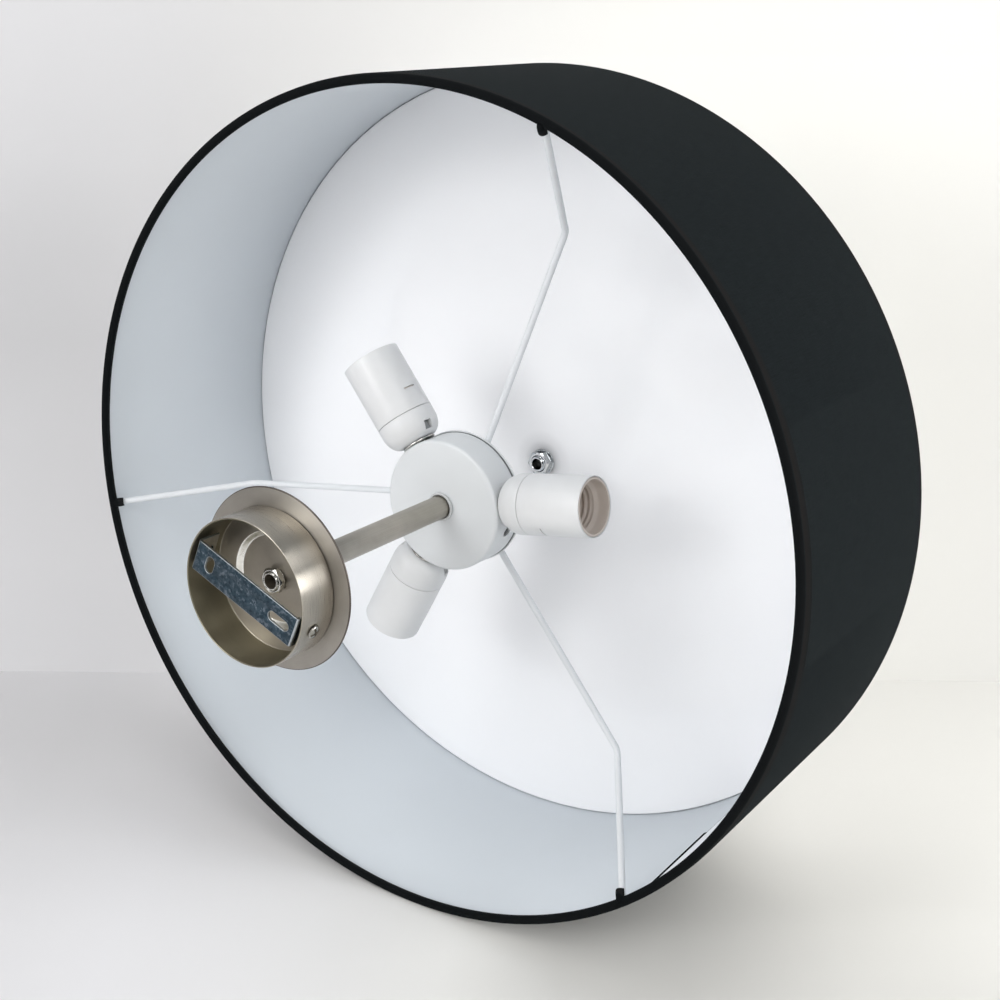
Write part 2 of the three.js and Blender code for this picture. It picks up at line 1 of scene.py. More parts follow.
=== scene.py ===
"""Looks for the ceiling light: a strap and a nickel canopy, a stem, a hub with three lampholders, and a
wire spider that carries a fabric drum, over an opal disc that lies on the drum's lower hem.

Lengths here are in millimetres and meshes are scaled to metres as they are made. The frame is the
CAD's: the origin is the middle of the strap's upper face, +Z points up and +X runs along the strap."""

import math

import bmesh
import bpy
from mathutils import Matrix, Vector


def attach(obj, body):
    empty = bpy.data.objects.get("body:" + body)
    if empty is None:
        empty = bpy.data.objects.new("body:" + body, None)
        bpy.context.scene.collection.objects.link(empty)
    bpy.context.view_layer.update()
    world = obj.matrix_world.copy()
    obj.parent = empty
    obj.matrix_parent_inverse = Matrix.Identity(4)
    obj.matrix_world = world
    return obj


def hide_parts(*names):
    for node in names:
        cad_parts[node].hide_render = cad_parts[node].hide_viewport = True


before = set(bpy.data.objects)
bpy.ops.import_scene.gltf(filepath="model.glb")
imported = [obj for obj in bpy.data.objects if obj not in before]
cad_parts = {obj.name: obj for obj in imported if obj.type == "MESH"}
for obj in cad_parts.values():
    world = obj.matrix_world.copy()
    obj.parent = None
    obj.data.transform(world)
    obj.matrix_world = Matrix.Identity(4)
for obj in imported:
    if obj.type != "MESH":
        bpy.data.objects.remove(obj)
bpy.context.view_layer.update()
bpy.context.scene.view_settings.view_transform = "Standard"

MM = 0.001
TAU = 2 * math.pi
SHARP = math.radians(34)

# Sizes shared by the pieces
CLEAR = 0.3
STRAP = {"half": 36.25, "half_width": 9.0, "sheet": 1.5, "bend": 1.9, "leg": 14.0}
STRAP_TURN, STRAP_SHIFT = -1.5, -0.5
SLOT_X, SLOT_WIDTH = 25.0, 5.5
SCREW_LEVEL, SCREW_HOLE = -10.0, 2.25
CUP_R, CUP_SHEET, CUP_CORNER = 40.0, 1.0, 1.5
CUP_FLOOR, CUP_BOSS = -24.0, -26.4
STEP_R, STEP_DEPTH, STEP_SOFT = 27.0, 2.4, 1.6
PLATE_R, PLATE_SHEET = 50.0, 1.2
ROD_R, ROD_BORE, ROD_HOLE = 5.0, 3.5, 5.3
NUT_ACROSS, NUT_HEIGHT, PAST_NUT = 14.0, 5.0, 1.8
WASHER_R, WASHER_SHEET = 8.5, 1.0
STEM_R = 7.0
PLATE_BOSS = CUP_BOSS - CLEAR - PLATE_SHEET
STEM_TOP = PLATE_BOSS - CLEAR
STEM_BOTTOM = STEM_TOP - 141.0
HUB_R, HUB_SHEET, HUB_CORNER = 40.0, 1.2, 2.0
HUB_TOP = STEM_BOTTOM - CLEAR
HUB_BOTTOM = HUB_TOP - 22.4
HOLDER_LEVEL = HUB_TOP - 11.2
LID_SCREW_LEVEL, LID_SCREW_TURN, LID_SCREW_HOLE = HUB_TOP - 13.2, 4.0, 3.2
LID_TOP = HUB_BOTTOM - 0.9
LID_BOTTOM = LID_TOP - 1.3
ARM_R = 2.0
ARM_LEVEL = LID_BOTTOM - CLEAR - ARM_R
SPIDER_TOP = ARM_LEVEL - ARM_R - CLEAR
SPIDER_BOTTOM = SPIDER_TOP - 2.0
SPIDER_NUT_TOP = SPIDER_BOTTOM - CLEAR
# Azimuth and roll of each lampholder, azimuth of each arm
HOLDERS = {1: (-30.5, -10), 2: (-149, -45), 3: (83.5, -15)}
ARM_AZIMUTHS = {1: -90, 2: 30, 3: 150}
DRUM_R, DRUM_TOP, DRUM_BOTTOM = 250.0, -129.0, -290.0
HEM_R, FABRIC_SHEET, HEM_WRAP = 2.65, 0.6, 255
RING_R, RING_WIRE = DRUM_R - HEM_R, 1.75
RING_TOP, RING_BOTTOM = DRUM_TOP - HEM_R, DRUM_BOTTOM + HEM_R
LINING_R, LINING_SHEET = 249.1, 0.8
LINING_TOP, LINING_BOTTOM = RING_TOP - HEM_R - CLEAR, RING_BOTTOM + HEM_R + CLEAR
# Azimuth where each bow of the upper ring starts, and its depth
UPPER_BOWS = ((150, 2.0), (270, 0.7))
SEAM_AZIMUTH = 152.8
DISC_R, DISC_SHEET = 248.0, 3.0
DISC_BOTTOM = LINING_BOTTOM
DISC_TOP = DISC_BOTTOM + DISC_SHEET
DISC_LIFT = 65.0
RIB_PROUD_FROM = DISC_TOP + DISC_LIFT


# ---- meshes


def add_object(name, data):
    obj = bpy.data.objects.new(name, data)
    bpy.context.scene.collection.objects.link(obj)
    return obj


def mesh_piece(name, verts, faces, material, uvs=None, sharp=SHARP):
    """A mesh object from points in millimetres. uvs holds one (u, v) in metres for each face corner."""
    mesh = bpy.data.meshes.new(name)
    mesh.from_pydata([Vector(v) * MM for v in verts], [], faces)
    if uvs:
        layer = mesh.uv_layers.new(name="UVMap")
        layer.data.foreach_set("uv", [c for uv in uvs for c in uv])
    obj = add_object(name, mesh)
    mesh.materials.append(material)
    tidy(obj, sharp)
    return obj


def tidy(obj, sharp=SHARP):
    """Welds a mesh, turns its faces outwards and shades it smooth between its sharp edges."""
    bm = bmesh.new()
    bm.from_mesh(obj.data)
    bmesh.ops.remove_doubles(bm, verts=bm.verts, dist=1e-6)
    bmesh.ops.dissolve_degenerate(bm, edges=bm.edges, dist=1e-7)
    bmesh.ops.recalc_face_normals(bm, faces=bm.faces)
    for face in bm.faces:
        face.smooth = True
    for edge in bm.edges:
        edge.smooth = edge.is_manifold and edge.calc_face_angle(0) < sharp
    bm.to_mesh(obj.data)
    bm.free()
    obj.data.update()


def fillet(corners, steps):
    """Points of a closed outline. A corner is (r, z) or (r, z, radius of its rounding)."""
    points = []
    count = len(corners)
    for i, corner in enumerate(corners):
        here = Vector(corner[:2])
        radius = corner[2] if len(corner) > 2 else 0
        if not radius:
            points.append(tuple(here))
            continue
        before = (Vector(corners[i - 1][:2]) - here).normalized()
        after = (Vector(corners[(i + 1) % count][:2]) - here).normalized()
        half = before.angle(after) / 2
        centre = here + (before + after).normalized() * (radius / math.sin(half))
        start = here + before * (radius / math.tan(half)) - centre
        sweep = math.pi - 2 * half
        turn = 1 if before.cross(after) < 0 else -1
        for k in range(steps + 1):
            angle = turn * sweep * k / steps
            c, s = math.cos(angle), math.sin(angle)
            points.append((centre.x + start.x * c - start.y * s, centre.y + start.x * s + start.y * c))
    return points


def arc(centre, radii, start, end, steps):
    """Points of an elliptical arc, with its angles in degrees."""
    points = []
    for k in range(steps + 1):
        angle = math.radians(start + (end - start) * k / steps)
        points.append((centre[0] + radii[0] * math.cos(angle), centre[1] + radii[1] * math.sin(angle)))
    return points


def distances(points):
    """How far along a path its points lie, in metres."""
    sums = [0.0]
    for a, b in zip(points, points[1:]):
        sums.append(sums[-1] + (Vector(b) - Vector(a)).length * MM)
    return sums


def skin(count, us, vs):
    """Faces between rings of count points each, and their UVs: us around a ring, vs from ring to ring."""
    faces, uvs = [], []
    for row in range(len(vs) - 1):
        low, high = row * count, (row + 1) * count
        for i in range(count):
            j = (i + 1) % count
            faces.append((low + i, low + j, high + j, high + i))
            uvs += [(us[i], vs[row]), (us[i + 1], vs[row]), (us[i + 1], vs[row + 1]), (us[i], vs[row + 1])]
    return faces, uvs


def swept(name, section, segments, material, sharp=SHARP):
    """Turns a section about Z. section(angle) gives its (r, z) points, the same number at every angle."""
    verts, faces, uvs = [], [], []
    rows = [section(TAU * k / segments) for k in range(segments)]
    count = len(rows[0])
    for k, row in enumerate(rows):
        angle = TAU * k / segments
        verts += [(r * math.cos(angle), r * math.sin(angle), z) for r, z in row]
    along = distances([*rows[0], rows[0][0]])
    reach = max(r for r, _ in rows[0]) * MM
    for k in range(segments):
        u0, u1 = TAU * k / segments * reach, TAU * (k + 1) / segments * reach
        here, following = k * count, (k + 1) % segments * count
        for i in range(count):
            j = (i + 1) % count
            faces.append((here + i, following + i, following + j, here + j))
            uvs += [(u0, along[i]), (u1, along[i]), (u1, along[i + 1]), (u0, along[i + 1])]
    return mesh_piece(name, verts, faces, material, uvs, sharp)


def turned(name, corners, material, segments=96, steps=4):
    """Turns a closed outline about Z."""
    points = fillet(corners, steps)
    return swept(name, lambda angle: points, segments, material)


def tube(name, inner, outer, low, high, material, edges, segments=64, steps=3):
    """A ring or tube. edges is the radius of all its edges, or one for each: low inner, low outer, high
    outer, high inner."""
    if not isinstance(edges, tuple):
        edges = (edges,) * 4
    corners = zip((inner, outer, outer, inner), (low, low, high, high), edges)
    return turned(name, list(corners), material, segments, steps)


def rod(name, radius, low, high, material, edge):
    """A plain rod with rounded ends."""
    return turned(name, [(0, low), (radius, low, edge), (radius, high, edge), (0, high)], material, 32)


def box_piece(name, low, high, material):
    """A plain block, used as a cutter or joined into a piece."""
    xs, ys, zs = zip(low, high)
    verts = [(x, y, z) for x in xs for y in ys for z in zs]
    faces = [(0, 1, 3, 2), (4, 6, 7, 5), (0, 4, 5, 1), (2, 3, 7, 6), (0, 2, 6, 4), (1, 5, 7, 3)]
    return mesh_piece(name, verts, faces, material)


def move(obj, matrix):
    """Moves a piece's own points, with the matrix in millimetres."""
    scaled = matrix.copy()
    scaled.translation = matrix.translation * MM
    obj.data.transform(scaled)
    obj.data.update()
    return obj


def spin(degrees, axis="Z"):
    return Matrix.Rotation(math.radians(degrees), 4, axis)


def lift(level):
    return Matrix.Translation((0, 0, level))


def along_x(level):
    """Lays a piece that was made along Z along X, at a height."""
    return lift(level) @ spin(90, "Y")


def refinish(obj, finish, chosen):
    """Gives another finish to the faces that chosen(centre in millimetres, normal) picks and that still
    have the piece's first one."""
    obj.data.materials.append(finish)
    for face in obj.data.polygons:
        if face.material_index == 0 and chosen(face.center / MM, face.normal):
            face.material_index = len(obj.data.materials) - 1


def drill(radius, low, high):
    """A rod for cutting a hole."""
    return rod("cutter", radius, low, high, None, 0.1)


def block(low, high):
    """A block for cutting."""
    return box_piece("cutter", low, high, None)


def cut(obj, *cutters, operation="DIFFERENCE"):
    """Cuts or joins the cutters with a piece and deletes them."""
    for cutter in cutters:
        modifier = obj.modifiers.new("cut", "BOOLEAN")
        modifier.operation = operation
        modifier.solver = "EXACT"
        modifier.object = cutter
    apply_modifiers(obj)
    for cutter in cutters:
        bpy.data.objects.remove(cutter)
    return obj


def apply_modifiers(obj):
    bpy.context.view_layer.update()
    graph = bpy.context.evaluated_depsgraph_get()
    mesh = bpy.data.meshes.new_from_object(obj.evaluated_get(graph))
    obj.modifiers.clear()
    obj.data = mesh
    tidy(obj)
    return obj


def bevel(obj, width, angle=40):
    """Rounds the sharp edges of a piece."""
    modifier = obj.modifiers.new("bevel", "BEVEL")
    modifier.width = width * MM
    modifier.segments = 2
    modifier.limit_method = "ANGLE"
    modifier.angle_limit = math.radians(angle)
    return apply_modifiers(obj)


def prism(name, outline, low, high, material):
    """Extrudes a flat outline of (x, y) points along Z."""
    count = len(outline)
    verts = [(x, y, low) for x, y in outline] + [(x, y, high) for x, y in outline]
    faces = [tuple(range(count - 1, -1, -1)), tuple(range(count, 2 * count))]
    faces += [(i, (i + 1) % count, count + (i + 1) % count, count + i) for i in range(count)]
    return mesh_piece(name, verts, faces, material)


def stadium(length, width):
    """Outline of a slot with round ends along X."""
    half, radii = (length - width) / 2, (width / 2, width / 2)
    return arc((half, 0), radii, -90, 90, 12) + arc((-half, 0), radii, 90, 270, 12)


def wire(name, points, radius, material):
    """A round wire along a path in a vertical plane through Z, given as (r, z) points, along +X."""
    sides = 24
    verts = []
    for i, (r, z) in enumerate(points):
        before = Vector(points[max(i - 1, 0)])
        after = Vector(points[min(i + 1, len(points) - 1)])
        along = (after - before).normalized()
        normal = Vector((-along.y, along.x))
        for k in range(sides):
            angle = TAU * k / sides
            out = normal * (radius * math.cos(angle))
            verts.append((r + out.x, radius * math.sin(angle), z + out.y))
    around = [TAU * radius * MM * k / sides for k in range(sides + 1)]
    faces, uvs = skin(sides, around, distances(points))
    faces += [tuple(range(sides - 1, -1, -1)), tuple(range(len(verts) - sides, len(verts)))]
    uvs += [(0, 0)] * (2 * sides)
    return mesh_piece(name, verts, faces, material, uvs)


def nut(name, low, high, material, across=NUT_ACROSS):
    """Hexagon nut with chamfered corners and a countersunk bore."""
    flat = across / 2
    crown = flat * 0.96
    slope = math.tan(math.radians(30))
    bore, sink = ROD_R + 0.05, 0.6

    def section(angle):
        outer = flat / math.cos((angle + math.pi / 6) % (math.pi / 3) - math.pi / 6)
        drop = (outer - crown) * slope
        return [
            (bore + sink, low), (crown, low), (outer, low + drop), (outer, high - drop),
            (crown, high), (bore + sink, high), (bore, high - sink), (bore, low + sink),
        ]

    return swept(name, section, 96, material, math.radians(20))


def thread_rows(radius, depth, pitch, low, high, per_pitch=10):
    """Section points of a rounded thread on a cylinder between two heights, as a function of the angle."""
    count = max(2, round((high - low) / pitch * per_pitch))

    def row(angle):
        points = []
        for i in range(count + 1):
            z = low + (high - low) * i / count
            fade = min(1.0, (z - low) / pitch, (high - z) / pitch)
            wave = 0.5 - 0.5 * math.cos(TAU * (z / pitch - angle / TAU))
            points.append((radius - depth * wave * fade, z))
        return points

    return row


def hollow_rod(name, bore, low, high, material, thread_low, thread_high):
    """Hollow rod with a metric thread over part of its length."""
    edge, sink = 0.5, 0.3
    thread = thread_rows(ROD_R, 0.5, 1.0, thread_low, thread_high)

    def section(angle):
        outside = [(ROD_R - edge, low), (ROD_R, low + edge), *thread(angle)]
        return [*outside, (ROD_R, high - edge), (ROD_R - edge, high), (bore + sink, high),
                (bore, high - sink), (bore, low + sink), (bore + sink, low)]

    return swept(name, section, 48, material)


# ---- materials


def srgb(red, green, blue):
    """Linear colour of an sRGB colour given in 0 to 255."""
    def linear(value):
        value /= 255
        return value / 12.92 if value <= 0.04045 else ((value + 0.055) / 1.055) ** 2.4
    return (linear(red), linear(green), linear(blue), 1.0)


def tones(*stops):
    """Ramp stops in grey from (place, tone)."""
    return [(place, (tone, tone, tone, 1.0)) for place, tone in stops]


class Finish:
    """Builds one material on the Principled shader. Positions are in metres."""

    def __init__(self, name, **sockets):
        self.material = bpy.data.materials.new(name)
        self.material.use_nodes = True
        self.nodes = self.material.node_tree.nodes
        self.links = self.material.node_tree.links
        self.shader = self.nodes["Principled BSDF"]
        for key, value in sockets.items():
            self.shader.inputs[key.replace("_", " ")].default_value = value

    def node(self, kind, inputs=None, **settings):
        made = self.nodes.new("ShaderNode" + kind)
        for key, value in settings.items():
            setattr(made, key, value)
        for key, value in (inputs or {}).items():
            if isinstance(value, bpy.types.NodeSocket):
                self.links.new(value, made.inputs[key])
            else:
                made.inputs[key].default_value = value
        return made

    def position(self):
        return self.node("TexCoord").outputs["Object"]

    def surface(self):
        return self.node("UVMap", uv_map="UVMap").outputs["UV"]

    def scaled(self, vector, *scale):
        """A vector stretched by three factors."""
        return self.node("Mapping", {"Vector": vector, "Scale": scale}).outputs["Vector"]

    def noise(self, scale, detail=2.0, roughness=0.5, vector=None):
        """Noise over the piece's own position or over another vector."""
        inputs = {"Scale": scale, "Detail": detail, "Roughness": roughness}
        inputs["Vector"] = vector or self.position()
        return self.node("TexNoise", inputs).outputs["Fac"]

    def stretched(self, vector, scale, detail=2.0, roughness=0.5):
        """Noise over a vector stretched by three factors."""
        return self.noise(1.0, detail, roughness, self.scaled(vector, *scale))

    def ramp(self, value, *stops):
        """Colours along a value. A stop is (place, colour)."""
        made = self.node("ValToRGB", {"Fac": value})
        elements = made.color_ramp.elements
        while len(elements) < len(stops):
            elements.new(0.5)
        for element, (place, color) in zip(elements, stops):
            element.position, element.color = place, color
        return made.outputs["Color"]

    def span(self, value, low, high, to_low, to_high):
        inputs = {"Value": value, "From Min": low, "From Max": high, "To Min": to_low, "To Max": to_high}
        return self.node("MapRange", inputs).outputs["Result"]

    def math(self, operation, a, b=0.0):
        return self.node("Math", {0: a, 1: b}, operation=operation).outputs["Value"]

    def vector(self, operation, a, b=(0.0, 0.0, 0.0)):
        return self.node("VectorMath", {0: a, 1: b}, operation=operation).outputs

    def mix(self, factor, a, b, blend="MIX"):
        inputs = {0: factor, 6: a, 7: b}
        return self.node("Mix", inputs, data_type="RGBA", blend_type=blend).outputs[2]

    def color(self, socket):
        self.links.new(socket, self.shader.inputs["Base Color"])

    def rough(self, socket):
        self.links.new(socket, self.shader.inputs["Roughness"])

    def bump(self, height, distance, strength=1.0):
        """Adds relief of a given height in millimetres."""
        inputs = {"Height": height, "Distance": distance * MM, "Strength": strength}
        normal = self.node("Bump", inputs).outputs["Normal"]
        self.links.new(normal, self.shader.inputs["Normal"])

    def tint(self, value, color, spread, low=0.35, high=0.65):
        """A colour that is a share darker where the value is low and lighter where it is high."""
        stops = []
        for place, factor in ((low, 1 - spread), (high, 1 + spread)):
            stops.append((place, (*[min(1.0, c * factor) for c in color[:3]], 1.0)))
        return self.ramp(value, *stops)

    def shine(self, value, low, high):
        """Roughness that follows a value."""
        self.rough(self.span(value, 0.3, 0.7, low, high))

    def times(self, a, b):
        return self.math("MULTIPLY", a, b)

    def plus(self, a, b):
        return self.math("ADD", a, b)


def brushed_metal(name, color, roughness, stretch=(40.0, 5200.0, 1.0), turn=0.25, spread=0.12,
                  drawn_out=0.8):
    """Satin metal with fine brush lines, on a piece turned about Z. stretch scales the surface's (u, v)
    before the noise, turn says which way the highlights are drawn out, in turns from around Z, and
    drawn_out how far."""
    made = Finish(name, Metallic=1.0, Anisotropic=drawn_out, Anisotropic_Rotation=turn)
    around = made.node("Tangent", direction_type="RADIAL", axis="Z").outputs["Tangent"]
    made.links.new(around, made.shader.inputs["Tangent"])
    lines = made.stretched(made.surface(), stretch, 3.0, 0.6)
    patches = made.noise(70.0, 3.0, 0.55)
    both = made.plus(made.times(lines, 0.55), made.times(patches, 0.45))
    made.color(made.tint(both, color, spread, 0.3, 0.7))
    made.shine(lines, roughness - 0.06, roughness + 0.06)
    made.bump(lines, 0.02, 0.6)
    return made.material


def plated_steel(name, color, roughness, spread=0.1):
    """Bright plated steel with slight staining and fine pits."""
    made = Finish(name, Metallic=1.0)
    stains = made.noise(260.0, 4.0, 0.6)
    made.color(made.tint(stains, color, spread))
    made.shine(stains, roughness - 0.04, roughness + 0.08)
    made.bump(made.noise(2500.0), 0.008, 0.5)
    return made.material


def zinc_sheet():
    """Blue-grey zinc on sheet steel, mottled, with faint rolling lines."""
    made = Finish("zinc_sheet", Metallic=1.0)
    place = made.position()
    warp = made.vector("ADD", place, (0.002, 0.001, 0.0))["Vector"]
    clouds = made.noise(190.0, 5.0, 0.65, warp)
    flakes = made.node("TexVoronoi", {"Vector": place, "Scale": 700.0}, feature="F1").outputs["Color"]
    flake = made.node("SeparateColor", {"Color": flakes}).outputs["Red"]
    both = made.plus(made.times(clouds, 0.72), made.times(flake, 0.28))
    made.color(made.ramp(
        both,
        (0.30, srgb(44, 57, 66)),
        (0.46, srgb(57, 72, 82)),
        (0.58, srgb(70, 84, 94)),
        (0.75, srgb(122, 132, 142)),
    ))
    made.rough(made.span(both, 0.3, 0.75, 0.42, 0.34))
    lines = made.stretched(place, (60.0, 2600.0, 60.0))
    made.bump(made.plus(lines, clouds), 0.012, 0.5)
    return made.material


def painted(name, color, roughness):
    """Powder coat: a satin skin with fine orange peel."""
    made = Finish(name, Coat_Weight=0.15, Coat_Roughness=0.25)
    peel = made.noise(900.0)
    cloud = made.noise(25.0)
    made.color(made.tint(cloud, color, 0.02))
    made.shine(peel, roughness - 0.04, roughness + 0.05)
    made.bump(peel, 0.012, 0.6)
    return made.material


def moulded(name, color, roughness, grain=0.004, spread=0.015, **sockets):
    """Moulded plastic: smooth, with faint flow marks and a fine grain."""
    made = Finish(name, **sockets)
    flow = made.stretched(made.position(), (60.0, 60.0, 20.0), 3.0)
    fine = made.noise(2200.0)
    made.color(made.tint(flow, color, spread))
    made.shine(flow, roughness - 0.03, roughness + 0.04)
    made.bump(fine, grain, 0.5)
    return made.material


def weave_height(made, place, pitch):
    """Plain weave over (u, v) in metres: two sets of threads that pass over each other in turn."""
    split = made.node("SeparateXYZ", {"Vector": place}).outputs
    factor = math.pi / (pitch * MM)
    across = made.times(split["X"], factor)
    along = made.times(split["Y"], factor)
    warp = made.math("ABSOLUTE", made.math("SINE", across))
    weft = made.math("ABSOLUTE", made.math("SINE", along))
    turns = made.times(made.math("COSINE", across), made.math("COSINE", along))
    swap = made.span(turns, -1.0, 1.0, 0.0, 1.0)
    rest = made.math("SUBTRACT", 1.0, swap)
    return made.plus(made.times(warp, swap), made.times(weft, rest))


def drum_cloth():
    """Fine plain-woven cloth with slubs along both sets of threads, a painted highlight along the shoulder
    of each hem and painted shade on the roll at each edge.
    """
    made = Finish("drum_cloth", Roughness=0.95, Specular_IOR_Level=0.04, Sheen_Weight=0.02,
                  Sheen_Roughness=0.5, Sheen_Tint=srgb(150, 165, 170))
    place = made.surface()
    weave = weave_height(made, place, 0.42)
    warp = made.stretched(place, (2400.0, 90.0, 1.0), 2.0, 0.6)
    weft = made.stretched(place, (90.0, 2400.0, 1.0), 2.0, 0.6)
    threads = made.plus(warp, weft)
    tone = made.plus(made.times(threads, 0.5), made.times(weave, 0.25))
    threads_color = made.ramp(tone, (0.25, srgb(10, 13, 15)), (0.85, srgb(30, 35, 37)))
    height = made.node("SeparateXYZ", {"Vector": made.position()}).outputs["Z"]
    middle = (DRUM_TOP + DRUM_BOTTOM) / 2 * MM
    half = made.math("ABSOLUTE", made.math("SUBTRACT", height, middle))
    edge = made.math("DIVIDE", made.math("SUBTRACT", (DRUM_TOP - DRUM_BOTTOM) / 2 * MM, half), 10 * MM)
    # A lighter brown band along each hem's shoulder is a painted highlight, and the darker roll at each
    # edge is painted shade.
    hem_highlight = made.ramp(edge, *tones((0.22, 0), (0.3, 1), (0.42, 0.8), (0.6, 0)))
    roll_shade = made.span(edge, 0.16, 0.26, 1.0, 0.0)
    with_highlight = made.mix(made.times(hem_highlight, 0.75), threads_color, srgb(34, 31, 30))
    made.color(made.mix(made.times(roll_shade, 0.8), with_highlight, srgb(15, 16, 17)))
    relief = made.plus(weave, made.times(threads, 0.6))
    made.bump(relief, 0.09, 0.9)
    return made.material


def lining_film():
    """Pale satin lining sheet with a faint cloth emboss, and a painted highlight on a strip beside its
    seam.
    """
    made = Finish("lining_film", Specular_IOR_Level=0.4)
    place = made.surface()
    cloud = made.stretched(place, (9.0, 9.0, 1.0))
    film = made.tint(cloud, srgb(215, 221, 226), 0.015)
    along = made.node("SeparateXYZ", {"Vector": place}).outputs["X"]
    seam = math.radians(SEAM_AZIMUTH) * LINING_R * MM
    # A paler strip just past the seam: painted highlight.
    lit_strip = made.span(made.math("SUBTRACT", along, seam), 0.0, 0.07, 1.0, 0.0)
    beyond = made.math("GREATER_THAN", along, seam)
    made.color(made.mix(made.times(lit_strip, beyond), film, srgb(240, 242, 246)))
    made.shine(cloud, 0.5, 0.6)
    made.bump(weave_height(made, place, 0.5), 0.012, 0.5)
    return made.material


# Painted shadow round the disc's nut: tones on the disc by the distance from its axis, in units of 50 mm
NUT_SHADOW = ((0.16, 0.62), (0.2, 0.74), (0.28, 0.9), (0.42, 1.0))


def opal_sheet():
    """Glossy opal acrylic with a slight waviness and a painted shadow round its nut."""
    made = Finish("opal_sheet", Coat_Weight=0.3, Coat_Roughness=0.04, IOR=1.49, Subsurface_Weight=0.15,
                  Subsurface_Radius=(0.004, 0.004, 0.004), Subsurface_Scale=1.0)
    cloud = made.noise(12.0)
    plain = made.tint(cloud, srgb(252, 252, 253), 0.006)
    level = made.scaled(made.position(), 1.0, 1.0, 0.0)
    reach = made.vector("LENGTH", level)["Value"]
    # Darker towards the nut: painted shadow.
    nut_shadow = made.ramp(made.times(reach, 20.0), *[(s, (t, t, t * 1.01, 1.0)) for s, t in NUT_SHADOW])
    made.color(made.mix(1.0, plain, nut_shadow, "MULTIPLY"))
    made.shine(made.noise(60.0, 3.0), 0.1, 0.16)
    made.bump(made.noise(7.0, 1.0), 0.25, 0.3)
    return made.material


def oxide_steel():
    """Black oxide on steel."""
    made = Finish("black_oxide", Metallic=0.7)
    stain = made.noise(900.0, 3.0)
    made.color(made.ramp(stain, (0.3, srgb(18, 18, 19)), (0.7, srgb(40, 40, 42))))
    made.shine(stain, 0.35, 0.55)
    made.bump(stain, 0.01, 0.5)
    return made.material


nickel_turned = brushed_metal("nickel_turned", srgb(176, 170, 160), 0.31)
nickel_plate = brushed_metal("nickel_plate", srgb(168, 163, 155), 0.45, drawn_out=0.65)
# Darker, olive copy of the nickel for the inside of the cup: painted shade.
nickel_inside_shade = brushed_metal("nickel_inside_shade", srgb(138, 133, 115), 0.36)
# Paler copy of the nickel for the cup's floor: painted light.
nickel_floor_lit = brushed_metal("nickel_floor_lit", srgb(164, 157, 146), 0.46, drawn_out=0.4)
# Near-white finish for the slope of the cup's stamped step: painted reflection.
nickel_step_reflection = plated_steel("nickel_step_reflection", srgb(244, 242, 236), 0.3)
# Darker copy of the nickel for the plate's outer rim: painted shade on its edge.
nickel_rim_shade = brushed_metal("nickel_rim_shade", srgb(104, 97, 92), 0.5)
nickel_drawn = brushed_metal("nickel_drawn", srgb(173, 168, 158), 0.36, (3600.0, 26.0, 1.0), 0.0, 0.16)
zinc = zinc_sheet()
steel = plated_steel("bright_steel", srgb(196, 195, 190), 0.22)
chrome = plated_steel("chrome", srgb(205, 208, 210), 0.09, 0.04)
brass = plated_steel("spring_brass", srgb(205, 172, 104), 0.28)
white_paint = painted("white_paint", srgb(216, 219, 221), 0.42)
# A lighter copy of the hub's white paint for the arms: painted light.
arm_paint_lit = painted("arm_paint_lit", srgb(222, 225, 228), 0.42)
white_plastic = moulded("white_plastic", srgb(219, 220, 221), 0.4, Coat_Weight=0.1, Coat_Roughness=0.2)
terminal_plastic = moulded("terminal_plastic", srgb(228, 228, 222), 0.4)
socket_plastic = moulded("socket_plastic", srgb(204, 193, 184), 0.45, 0.01, 0.03)
collar_plastic = moulded("collar_plastic", srgb(196, 198, 199), 0.3)
# Mid grey for the dome's windows and the lid's reveal: painted shade.
shade_grey = moulded("shade_grey", srgb(150, 153, 155), 0.5)
# Dark brown for bores and recesses: painted shade.
recess_shade = moulded("recess_shade", srgb(96, 89, 78), 0.6, 0.02, 0.1)
# Pale steel for the strap's cut edges and slot walls, and on its outer bends a painted highlight.
cut_edge_and_highlight = plated_steel("cut_edge_and_highlight", srgb(176, 182, 186), 0.35)
# Pale warm tone for the inner faces of the strap's legs in place of zinc: painted light.
strap_leg_painted_light = plated_steel("strap_leg_painted_light", srgb(176, 172, 160), 0.45)
screw_steel = plated_steel("screw_steel", srgb(168, 166, 160), 0.2)
cloth = drum_cloth()
lining = lining_film()
opal = opal_sheet()
oxide = oxide_steel()
ring_paint = painted("ring_paint", srgb(30, 31, 33), 0.45)


def settle(obj, slot, *nodes, body="fixture"):
    """Says what a finished piece rides on and which nodes it stands for, and hides those nodes. slot is not
    used.
    """
    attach(obj, body)
    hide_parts(*nodes)
    return obj


# ---- canopy


